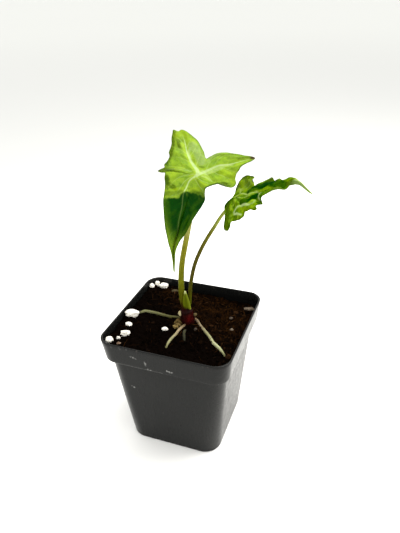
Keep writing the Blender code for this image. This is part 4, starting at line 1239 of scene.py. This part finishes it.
# %% Places and tones
def on_soil(count, reach=35.2, few=1.0, tilt=1.0, past=0.0):
    """Random places clear of the pot's corners, and only a few of those before a slanted line."""
    x, y = rng.uniform(-reach, reach, (2, count * 4))
    over = np.maximum(np.abs((x, y)) - CORNER_START, 0)
    fine = np.hypot(*over) < CORNER_REACH
    if few < 1:
        fine &= rng.random(len(x)) < np.where(x + tilt * y > past, 1.0, few)
    return x[fine][:count], y[fine][:count]


def tone_finish(name, dark, light, gloss):
    """A colour between two, chosen by each copy's own tone and clouded a little."""
    paint = Finish(name, IOR=1.4, Specular_IOR_Level=0.015)
    cloud = paint.cloudy(paint.place(), 0.4, 3.0, 0.6)
    return paint.done(paint.blend(dark, (light, paint.mark("tone") * (cloud + 0.5))),
                      gloss + cloud * 0.15, cloud, 0.6, 0.15)


def scatter(name, shell, tone, look, slot, node="soil", flat=None):
    """Copies as one piece: a tone for each copy, and a look of (name, dark, light, gloss)."""
    marks = {"tone": np.repeat(tone, len(shell[0]) // len(tone))}
    make_piece(name, shell, tone_finish(*look), slot, node, marks, flat)


# %% Crumbs and flakes
CRUMBS, FLAKES = 1500, 130


def make_crumbs():
    """Dented lumps of peat of 0.5 to 2.4 mm, half sunk in the soil."""
    x, y = on_soil(CRUMBS)
    size = 0.26 + 0.8 * rng.beta(1.2, 4.5, len(x))
    sizes = size[:, None] * rng.uniform(0.6, 1.2, (len(x), 3))
    shell = lumps(xyz(x, y, lumpy(x, y) + size * 0.3), sizes, dent=0.3)
    brown = eased(0.7 * x + y, -5.0, 30.0) * 0.6 - 0.05
    scatter("soil_crumbs", shell, rng.beta(1.0, 4.0, len(x)) * (0.2 + brown * 1.2),
            ("soil_crumb", (0.0006, 0.0003, 0.0002), (0.038, 0.0150, 0.0040), 0.8), "potting_soil", flat=35)


def make_flakes():
    """Flat chips of bark and husk, most of them towards the back and the right."""
    x, y = on_soil(FLAKES, few=0.25, past=-4.0)
    size = rng.uniform(0.5, 1.7, len(x))
    sizes = size[:, None] * xyz(1.0, rng.uniform(0.4, 0.8, len(x)), rng.uniform(0.14, 0.26, len(x)))
    shell = lumps(xyz(x, y, lumpy(x, y) + 0.3), sizes, 3, 8, 0.26)
    brown = 0.15 + 0.85 * eased(0.7 * x + y, -6.0, 16.0)
    scatter("bark_flakes", shell, rng.beta(1.4, 2.4, len(x)) * brown,
            ("bark_flake", (0.0015, 0.0007, 0.0004), (0.050, 0.022, 0.008), 0.75), "bark_brown", flat=40)


make_crumbs()
make_flakes()

# %% Coir fibres
FIBRES, FIBRE_ROWS, FIBRE_REACH = 330, 9, 35.2


def make_fibres():
    """Threads that follow the ground in a shallow bend, thicker in the middle."""
    x, y = on_soil(FIBRES, 33.0, few=0.15, tilt=1.2, past=6.0)
    column = (len(x), 1)
    heading, length = rng.uniform(0, 2 * np.pi, column), rng.uniform(2.0, 8.0, column)
    share = np.linspace(-0.5, 0.5, FIBRE_ROWS)
    run, bow = share * length, rng.normal(0, 1.1, column) * (share ** 2 - 0.08) * length * 0.5
    px, py = (np.clip(middle, -FIBRE_REACH, FIBRE_REACH) for middle in (
        x[:, None] + run * np.cos(heading) - bow * np.sin(heading),
        y[:, None] + run * np.sin(heading) + bow * np.cos(heading)))
    arch = rng.uniform(-0.1, 0.8, column) * np.cos(np.pi * share)
    radii = rng.uniform(0.05, 0.12, column) * (0.35 + 0.65 * np.cos(np.pi * share * 0.98))
    scatter("coir_fibres", strands(xyz(px, py, lumpy(px, py) + 0.2 + arch), radii),
            rng.beta(1.5, 2.2, len(x)),
            ("coir_fibre", (0.003, 0.0013, 0.0006), (0.060, 0.0235, 0.0050), 0.6), "potting_soil")


make_fibres()

# %% [markdown]
# ## Perlite, grit and bark
#
# Perlite is volcanic glass that was heated until it popped, so each grain is a white lump full of tiny
# pits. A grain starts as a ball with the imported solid's length, width and height, and noise pushes its
# surface in and out. Three of the bigger ones have a notch, where a piece broke off or two lumps meet. A
# row gives a grain's place, rise over the ground, length, width, height and turn.

# %% Grains
PERLITE = (
    (-34.5, 30, 0.6, 3.4, 3.2, 2.8, 10), (-32, 33.4, 0.7, 2.4, 2.6, 3, 60),
    (-27.4, 33.4, 0.8, 4.6, 3.6, 3.4, 5), (-31.8, -5, 1.2, 8, 5.4, 4.4, 15),
    (-30.3, -12.6, 0.4, 4, 3.2, 2.8, 10), (-28.2, -21.4, 0.7, 6.4, 4, 3.6, 25),
    (-33.4, -30.8, 0.6, 4.8, 4.2, 3.6, -10), (-29.8, -26.6, 0.3, 2.3, 2, 1.8, 0),
    (-27.4, -30.8, 0.2, 2.6, 2.2, 2, 30), (-8.6, -9.2, 0.6, 4.6, 3.4, 3, 5),
)
GRIT = (
    (7.6, -2.4, 0.3, 1.9, 1.7, 2.2, 0), (27.2, 6, 0.3, 2.3, 2, 1.8, 0), (23.4, 17, 0.3, 2.3, 2, 1.8, 40),
)
BARK = (
    (31, 30.6, 0.4, 7, 3.2, 2.2, 12), (-19.2, 32, 0.3, 4.2, 2.6, 1.8, 30),
)
SWELL = {"perlite_02": 1.25, "perlite_03": 1.28, "perlite_09": 0.8, "perlite_10": 0.82}
NOTCHES = {"perlite_04": ((0.45, -0.85, 0.25), 0.42, 0.50), "perlite_03": ((-0.35, -0.3, 0.9), 0.34, 0.45),
           "perlite_06": ((-0.2, -0.9, 0.4), 0.22, 0.5)}


def dented(net, dents, seed):
    """A unit ball's points and faces, and how far noises of (depth, size) push each point."""
    points, faces = ball(*net)
    return points, faces, sum(depth * rough(points, size, 2, seed) for depth, size in dents)


def grain_shell(node, grain, net, dents, seed):
    """A ball of the grain's size, pushed by noises and by its notch, turned and set down."""
    x, y, rise, length, width, height, turn = grain
    points, faces, push = dented(net, dents, seed)
    if node in NOTCHES:
        way, depth, spread = NOTCHES[node]
        away = np.linalg.norm(points - unit(np.array(way)), axis=1)
        push = push - depth * np.exp(-(away / spread) ** 2)
    local = points * (1 + push)[:, None] * np.array((length, width, height)) / 2
    local = local @ np.array(Matrix.Rotation(math.radians(turn), 3, "Z")).T
    local = local.mean(0) + (local - local.mean(0)) * SWELL.get(node, 1.0)
    return local + (x, y, ground(x, y) + rise), faces


# %% Finishes of the grains
def perlite_finish(name, light, shade):
    """Chalky white, pitted, with painted shade in its pits and patches of soil dust."""
    paint = Finish(name, IOR=1.35, Specular_IOR_Level=0.2, Subsurface_Weight=0.1,
                   Subsurface_Radius=(1.0, 0.9, 0.8), Subsurface_Scale=0.5 * MM)
    place = paint.place()
    pits = paint.band(paint.cells(place, 0.5), 0.0, 0.5)
    dust = paint.band(paint.cloudy(place, 1.1, 4.0, 0.65), 0.52, 0.78)
    # The shade colour serves both the soil dust and the painted shade in the pits.
    return paint.done(paint.blend(light, (shade, dust * 0.55 + (1 - pits) * 0.22)),
                      0.85 - pits * 0.1, pits + dust * 0.4, 0.6, 0.16)


def bark_finish(name, dark, light):
    """Weathered fibre: streaks along the chip, from dark cracks to a pale face."""
    paint = Finish(name, IOR=1.4, Specular_IOR_Level=0.25)
    streak = paint.cloudy(paint.place(), 0.45, 4.0, 0.65, 0.6, scale=(0.25, 1.0, 1.0))
    return paint.done(paint.blend(dark, (light, paint.band(streak, 0.3, 0.72))),
                      0.7 + streak * 0.2, streak, 0.8, 0.3)


def make_grains(kind, piece, digits, slot, grains, finishes, net, dents, seed, flat=None):
    """Every grain of one kind, from balls with a net of (rows, columns)."""
    for index, (grain, finish) in enumerate(zip(grains, finishes), start=1):
        number = str(index).zfill(digits)
        node = f"{kind}_{number}"
        make_piece(f"{piece}_{number}", grain_shell(node, grain, net, dents, seed + index), finish,
                   slot, node, flat=flat)


# %% Make the grains
WHITE = perlite_finish("perlite_white", (0.80, 0.77, 0.69), (0.42, 0.34, 0.24))
STAINED = perlite_finish("perlite_stained", (0.20, 0.13, 0.085), (0.07, 0.04, 0.025))
TAN = bark_finish("grit_tan", (0.045, 0.032, 0.022), (0.19, 0.15, 0.105))
DULL = bark_finish("grit_dull", (0.018, 0.012, 0.008), (0.075, 0.056, 0.038))
BROWN = bark_finish("bark_brown", (0.035, 0.024, 0.016), (0.20, 0.155, 0.110))
DARK = bark_finish("bark_dark", (0.016, 0.011, 0.004), (0.085, 0.066, 0.026))
make_grains("perlite", "perlite_grain", 2, "perlite_white", PERLITE, [WHITE] * 8 + [STAINED, WHITE],
            (30, 40), ((0.24, 0.9), (0.09, 0.32), (0.03, 0.12)), 0)
make_grains("grit", "grit_grain", 1, "grit_tan", GRIT, (DULL, TAN, DULL),
            (16, 22), ((0.2, 0.9), (0.05, 0.3)), 30, flat=50)
make_grains("bark", "bark_chip", 1, "bark_brown", BARK, (BROWN, DARK),
            (24, 36), ((0.22, 0.8), (0.07, 0.25)), 40, flat=50)

# %% [markdown]
# ## The corm and its scraps
#
# The corm is the swollen foot of the plant. Its profile is turned round a slightly leaning axis, ringed by
# the scars of old leaves and wrapped in dark red fibre. A pale bud, a torn dry husk and a knob sit on it.
# The fibres are threads that climb its side.

# %% Corm
CORM_PROFILE = ((2.0, 64.3), (3.4, 66.6), (4.0, 70.0), (4.1, 73.0), (3.9, 76.0), (3.3, 78.6), (2.7, 79.4))
CORM_TOP, CORM_FOOT, CORM_LEAN, CORM_ACROSS = 79.4, 63.7, math.radians(-6.0), 0.4
CORM_HAIRS, CORM_GLOW, COLLAR_HEIGHT = 520, (3.0, 1.0, 74.3), 1.5


def on_corm(turn, height, out=0.0):
    """Points of the leaning corm at a turn and a height, moved out by a distance."""
    widths, heights = np.array(CORM_PROFILE).T
    radius = np.interp(height, heights, widths) + out
    local = xyz(radius * np.cos(turn), radius * np.sin(turn), height - CORM_FOOT)
    lean = np.array(Matrix.Rotation(CORM_LEAN, 3, Vector(-FRONT)))
    return local @ lean.T + CROWN + ACROSS * CORM_ACROSS + UPWARD * CORM_FOOT


def corm_finish():
    """Maroon skin with fibres that climb it."""
    paint = Finish("corm_skin", IOR=1.42, Specular_IOR_Level=0.10)
    place = paint.place()
    fibre = paint.cloudy(place, 0.35, 4.0, 0.7, scale=(1.0, 1.0, 0.16))
    patch = paint.cloudy(place, 2.2, 3.0, 0.6)
    # Painted highlight: the skin is brighter red round one point on the corm's side.
    glow = 1 - paint.band(paint.away(place, *CORM_GLOW), 0.8 * MM, 4.2 * MM)
    colour = paint.blend((0.0035, 0.0006, 0.0005),
                         ((0.022, 0.0022, 0.0016), paint.band(fibre * 0.6 + patch * 0.5, 0.38, 0.72)),
                         ((0.092, 0.0022, 0.0022), glow * (fibre * 0.7 + 0.4)),
                         ((0.085, 0.016, 0.007), paint.band(fibre, 0.66, 0.85) * 0.5))
    return paint.done(colour, 0.5 + fibre * 0.25, fibre, 0.8, 0.3)


# %% Make the corm
def make_collar(finish):
    """The torn foot of an old sheath: a thin cup round the stems with a ragged lip."""
    turn = turn_of(180)
    around = circle(turn)
    ragged = 0.5 + 0.9 * np.abs(rough(around, 0.5, 3, seed=71)) + 0.3 * rough(around, 0.09, 2, 72)
    rise = np.linspace(0, 1, 9)[:, None]
    height = CORM_TOP - 1.8 + (COLLAR_HEIGHT * ragged + 1.8) * rise
    flare = 0.12 + 0.35 * rise ** 2 * rough(around, 0.8, 2, seed=73)
    outer, inner = on_corm(turn, height, flare + 0.14), on_corm(turn, height, flare - 0.10)[::-1]
    shell = skin(np.concatenate([outer, inner]), outer[0].mean(0), inner[-1].mean(0))
    make_piece("corm_collar", shell, finish, "corm_skin", "corm")


def make_corm():
    """Rings up the turned profile, with leaf scars and noise, and threads over them."""
    finish = corm_finish()
    height, angle = np.linspace(64.3, CORM_TOP, 80)[:, None], turn_of(96)
    scars = -0.16 * np.abs(np.sin(height * 1.9 + 0.5 * np.sin(angle + 1.0))) ** 12
    out = scars + 0.14 * rough(xyz(*circle(angle).T * 2.0, height * 0.45), 1.3, 3, seed=21)
    rings = on_corm(angle, height, np.where(height > CORM_TOP - 0.3, -0.1, out))
    shell = skin(rings, on_corm(0.0, CORM_FOOT, -2.0), on_corm(0.0, CORM_TOP, -2.7))
    make_piece("corm_body", shell, finish, "corm_skin", "corm")
    make_collar(finish)
    share, column = np.linspace(0, 1, 8), (CORM_HAIRS, 1)
    climb = rng.uniform(67.5, 78.2, column) + rng.uniform(1.2, 4.2, column) * share
    heading = rng.uniform(0, 2 * np.pi, column) + rng.normal(0, 0.25, column) * share
    lift = 0.05 + rng.uniform(0.0, 0.55, column) * share ** 2
    radii = rng.uniform(0.035, 0.075, column) * (1 - 0.7 * share)
    hairs = strands(on_corm(heading, np.minimum(climb, CORM_TOP + 1.6), lift), radii)
    scatter("corm_fibres", hairs, rng.beta(1.5, 2.0, CORM_HAIRS),
            ("corm_fibre", (0.006, 0.001, 0.0008), (0.080, 0.007, 0.005), 0.6), "corm_skin", "corm")


make_corm()

# %% Bud, husk and knob
HUSK_SCALES, HUSK_LINE = 36, np.array(((-4.9, 2.2, 73.4), (-8.4, 6.2, 69.7)))
BUD, BUD_HALF = (-4.7, 0.9, 76.7), np.array((0.95, 1.0, 1.35)) * 1.35
HUSK, HUSK_HALF = (-5.4, 1.6, 69.6), np.array((2.0, 1.6, 1.9)) * 1.1
KNOB, KNOB_HALF = (4.0, 0.8, 75.2), (1.2, 1.0, 1.1)


def scrap_shell(middle, half, net, dents, seed, point=0.0):
    """An oval of a half size on the corm, dented by noise and drawn to a point."""
    base, faces, push = dented(net, dents, seed)
    local = base * (1 + push)[:, None] * half
    local[:, :2] *= 1 - point * np.clip(base[:, 2:], 0.0, 1.0) ** 1.5
    return from_crown(local + middle), faces


def make_husk_scales():
    """Crumpled papery scales from the corm over the husk, paler down to the soil."""
    share = np.sort(rng.uniform(0, 1, HUSK_SCALES))
    line = HUSK_LINE[0] + share[:, None] * (HUSK_LINE[1] - HUSK_LINE[0])
    line = line + rng.normal(0, 0.55, line.shape)
    sizes = rng.uniform(0.75, 1.5, (HUSK_SCALES, 1)) * (1.0, 0.75, 0.34)
    scatter("husk_scales", lumps(from_crown(line), sizes, 7, 14, 0.13),
            share * rng.uniform(0.5, 1.1, HUSK_SCALES),
            ("husk_scale", (0.035, 0.017, 0.004), (0.40, 0.29, 0.105), 0.7), "husk_skin", "husk", 45)


make_piece("bud", scrap_shell(BUD, BUD_HALF, (26, 34), ((0.05, 0.7),), 51, point=0.2),
           bark_finish("bud_skin", (0.34, 0.26, 0.11), (0.62, 0.56, 0.32)), "bud_skin", "side_bud")
make_piece("torn_husk", scrap_shell(HUSK, HUSK_HALF, (34, 48), ((0.16, 0.8), (0.10, 0.3), (0.05, 0.12)), 52),
           bark_finish("husk_skin", (0.035, 0.016, 0.004), (0.20, 0.12, 0.035)), "husk_skin", "husk")
make_husk_scales()
make_piece("root_knob", scrap_shell(KNOB, KNOB_HALF, (26, 34), ((0.10, 0.6), (0.04, 0.2)), 53),
           bark_finish("knob_skin", (0.030, 0.017, 0.005), (0.17, 0.125, 0.045)), "husk_skin", "knob")

# %% [markdown]
# ## Roots
#
# Four fleshy roots run over the soil from the corm. They are pale yellow-green where light reaches them,
# tan where they leave the corm, and faintly wrinkled along their length. A root's row gives a point's
# place, its rise over the ground and its radius. A tint's row gives a share of the length and a colour.

# %% Roots
ROOTS = {
    "root_left": (
        (-1.5, 4.4, 1, 0.7), (-6.4, 4.4, 0.7, 0.7), (-11, 4, 0.5, 0.75), (-17.6, 4, 0.5, 0.85),
        (-24, 3.6, 0.7, 0.95), (-27.2, 2.6, 0.6, 0.95), (-28.8, 1.2, 0, 0.9),
    ),
    "root_front_left": (
        (0.4, 2, 0.2, 0.8), (-0.3, -2, 0.4, 0.8), (-0.9, -5.6, 0.4, 0.8), (-1.6, -11.4, 0.3, 0.8),
        (-2.2, -17.2, 0.3, 0.7), (-2.2, -21.5, 0.2, 0.6), (-2.3, -25, -1.6, 0.45),
    ),
    "root_middle": (
        (1.6, 1, -2, 0.8), (1.8, -4, -0.6, 0.8), (2.4, -7.4, 0.1, 0.8), (4.2, -11.8, 0, 0.75),
        (5.6, -15, -1.6, 0.5),
    ),
    "root_right": (
        (2, 5.8, 1.4, 0.8), (4.6, 6.6, 0.8, 0.85), (9.5, 2, 0.4, 0.85), (14.2, -2.6, 0.4, 0.85),
        (18.2, -7, 0.4, 0.85), (21, -10, 0.5, 0.95), (25, -13.2, 0.4, 0.9), (29.4, -17.4, 0.2, 0.65),
        (31.4, -19.4, -1.4, 0.45),
    ),
}
ROOT_TINTS = {
    "root_left": (
        (0, 0.035, 0.022, 0.008), (0.3, 0.085, 0.08, 0.026), (1, 0.155, 0.155, 0.072),
    ),
    "root_front_left": (
        (0, 0.11, 0.062, 0.028), (0.35, 0.29, 0.225, 0.13), (0.7, 0.27, 0.255, 0.13), (1, 0.1, 0.095, 0.035),
    ),
    "root_middle": (
        (0, 0.014, 0.01, 0.005), (0.5, 0.038, 0.037, 0.018), (1, 0.012, 0.011, 0.005),
    ),
    "root_right": (
        (0, 0.12, 0.066, 0.038), (0.2, 0.2, 0.155, 0.09), (0.5, 0.24, 0.235, 0.115), (0.75, 0.36, 0.37, 0.21),
        (1, 0.16, 0.16, 0.065),
    ),
}


def stem_finish(name, stops, gloss, wrinkle, speckle=0.0):
    """Colours along a stem, with fibres along its skin and, if wanted, dark flecks."""
    paint = Finish(name, IOR=1.42, Specular_IOR_Level=0.08, Subsurface_Weight=0.15,
                   Subsurface_Radius=(0.8, 1.0, 0.3), Subsurface_Scale=0.5 * MM)
    along, unrolled = paint.mark("along"), paint.mark("unrolled", "Vector")
    fibre = paint.cloudy(unrolled, 0.22, 4.0, 0.6, scale=(1.0, 1.0, 0.10))
    patch = paint.cloudy(unrolled, 0.9, 3.0, 0.6, scale=(1.0, 1.0, 0.4))
    colour = paint.blend(stops[0][1:], *((tint, paint.band(along, start[0], stop))
                                         for start, (stop, *tint) in zip(stops, stops[1:])))
    shade = paint.blend(colour, ((0.0, 0.0, 0.0), 0.45))
    colour = paint.blend(colour, (shade, paint.band(fibre * 0.5 + patch * 0.6, 0.45, 0.75) * 0.7))
    if speckle:
        dots = 1 - paint.band(paint.cells(unrolled, 0.45), 0.12, 0.26)
        colour = paint.blend(colour, (shade, dots * speckle))
    return paint.done(colour, gloss + patch * 0.12, fibre + patch, wrinkle, 0.12)


# %% Make the roots
def make_roots():
    """A wrinkled tube along each root's line over the ground."""
    for seed, (name, points) in enumerate(ROOTS.items()):
        line = curve_through([(x, y, ground(x, y) + rise, radius) for x, y, rise, radius in points], 10)
        shell, marks = tube(line, 24, UPWARD, swell=0.10, seed=60 + seed)
        finish = stem_finish(f"skin_{name}", ROOT_TINTS[name], 0.48, 0.5)
        make_piece(f"fleshy_{name}", shell, finish, "root_skin", name, marks)


make_roots()

# %% [markdown]
# ## Leaf stems and the sheath
#
# Two stems rise from the corm. The older one is stout and olive, the younger thin, brown in the middle and
# greener at both ends. Both hold up a blade, and so each ends just under the seat of its leaf. A bright
# green flap with a pale point wraps them in front. It is the foot of the next leaf.

# %% Stems
STEMS = {
    "upright": ((-1.4, 3.3, CORM_TOP + SOLID_GAP, 1.3), (-2.0, 3.1, 84.0, 1.55), (-2.4, 3.0, 93.5, 1.7),
                (-1.6, 3.4, 108.6, 1.62), (1.7, 4.6, 127.2, 1.52), (4.3, 7.6, 144.0, 1.4),
                (4.9, 10.6, 153.5, 1.3), (5.2, 11.6, 157.0, 1.25)),
    "arching": ((1.5, 4.5, CORM_TOP + SOLID_GAP, 0.85), (2.0, 4.7, 87.0, 1.05), (2.4, 4.9, 94.0, 1.12),
                (5.2, 6.1, 108.9, 1.12), (9.8, 7.8, 120.8, 1.08), (15.4, 10.9, 131.4, 1.0),
                (19.9, 13.6, 139.0, 0.9), (24.0, 14.2, 142.8, 0.8), (27.0, 13.4, 145.6, 0.75)),
}
STEM_TINTS = {
    "upright": (
        (0, 0.024, 0.005, 0.002), (0.04, 0.034, 0.013, 0.002), (0.11, 0.085, 0.085, 0.003),
        (0.28, 0.145, 0.15, 0.003), (0.48, 0.19, 0.18, 0.006), (0.55, 0.235, 0.225, 0.022),
        (0.62, 0.33, 0.325, 0.08), (1, 0.36, 0.38, 0.11),
    ),
    "arching": (
        (0, 0.04, 0.016, 0.003), (0.05, 0.09, 0.105, 0.003), (0.18, 0.058, 0.055, 0.002),
        (0.36, 0.064, 0.054, 0.003), (0.5, 0.08, 0.07, 0.003), (0.64, 0.125, 0.12, 0.008),
        (0.76, 0.26, 0.29, 0.045), (1, 0.32, 0.36, 0.08),
    ),
}
STEM_SLOTS = {"upright": "petiole_olive", "arching": "petiole_brown"}


def make_stems():
    """A faintly ribbed tube from the corm to the seat of each leaf."""
    for name, points in STEMS.items():
        leaf, radius = LEAVES[name], points[-1][3]
        end = np.array(leaf["seat"]) - leaf_axes(leaf)[2] * (radius + 0.1)
        shell, marks = tube(curve_through([*points, (*end, radius)], 14), 36, FRONT, 0.012, 0.02)
        finish = stem_finish(f"petiole_{name}", STEM_TINTS[name], 0.33, 0.25, 0.35)
        make_piece(f"stem_{name}", shell, finish, STEM_SLOTS[name], f"petiole_{name}", marks)


make_stems()

# %% Sheath
SHEATH_FOOT, SHEATH_HEIGHT = CORM_TOP + SOLID_GAP + 0.2, 12.7
SHEATH_THICK, SHEATH_MIDDLE, SHEATH_NET = 0.5, -0.8, (60, 72)
SHEATH_CUTS = ((0.0, -2.9, 1.8, 3.4, 2.5), (0.35, -2.9, 1.2, 3.8, 2.55), (0.7, -2.6, 0.2, 4.2, 2.4),
               (1.0, -1.75, -1.05, 4.4, 1.7))


def sheath_finish():
    """Fresh yellow-green with fine veins that run up it, painted shade down its middle, a pale point and a
    pale right edge.
    """
    paint = Finish("sheath_green", IOR=1.42, Specular_IOR_Level=0.05, Subsurface_Weight=0.25,
                   Subsurface_Radius=(0.7, 1.0, 0.2), Subsurface_Scale=0.6 * MM)
    up, over = paint.mark("up"), paint.mark("over")
    lines = paint.cloudy(paint.mark("flap", "Vector"), 0.3, 3.0, 0.6, scale=(1.0, 1.0, 0.05))
    # Painted shade: a darker band down the middle of the flap.
    shade = paint.band(over, 0.1, 0.45) * (1 - paint.band(over, 0.5, 0.8))
    green = paint.blend((0.085, 0.105, 0.003), ((0.140, 0.165, 0.005), paint.band(lines, 0.35, 0.7)),
                        ((0.060, 0.078, 0.002), shade * 0.6))
    foot = paint.band(up + over * 0.24 + (lines - 0.5) * 0.1, 0.10, 0.34)
    colour = paint.blend((0.024, 0.005, 0.002), (green, foot),
                         ((0.22, 0.26, 0.022), paint.band(over, 0.72, 0.95) * 0.75),
                         ((0.50, 0.52, 0.22), paint.band(up, 0.82, 0.96)))
    return paint.done(colour, 0.36 + lines * 0.12, lines, 0.3, 0.15)


# %% Make the sheath
def make_sheath():
    """Closed rings across the flap: out along its face, round its edge, and back inside."""
    rows, columns = SHEATH_NET
    levels, *cuts = np.array(SHEATH_CUTS).T
    height, angle = np.linspace(0, 1, rows)[:, None], turn_of(columns)
    left, right, reach, bulge = (np.interp(height, levels, cut) for cut in cuts)
    share = (1 - np.cos(angle)) / 2
    across = left + (right - left) * share
    aside = across - SHEATH_MIDDLE
    forward = bulge * np.sqrt(1.0 - (aside / reach) ** 2)
    out = unit(xyz(aside / reach ** 2, forward / bulge ** 2))
    side = np.sign(np.sin(angle)) * np.abs(np.sin(angle)) ** 0.4 * SHEATH_THICK / 2
    fine = np.sqrt(1 - np.clip((height - 0.96) / 0.04, 0, 1) ** 2) * side
    flap = xyz(across + out[..., 0] * fine, forward + out[..., 1] * fine,
               SHEATH_FOOT + height * SHEATH_HEIGHT)
    rings = from_crown(flap)
    marks = {"up": np.concatenate([np.repeat(height, columns), [0.0, 1.0]]),
             "over": np.concatenate([np.tile(share, rows), [0.5, 0.5]]),
             "flap": np.vstack([flap.reshape(-1, 3), flap[0, 0], flap[-1, -1]]) * MM}
    make_piece("sheath_flap", skin(rings, rings[0].mean(0), rings[-1].mean(0)), sheath_finish(),
               "sheath_green", "sheath", marks)


make_sheath()
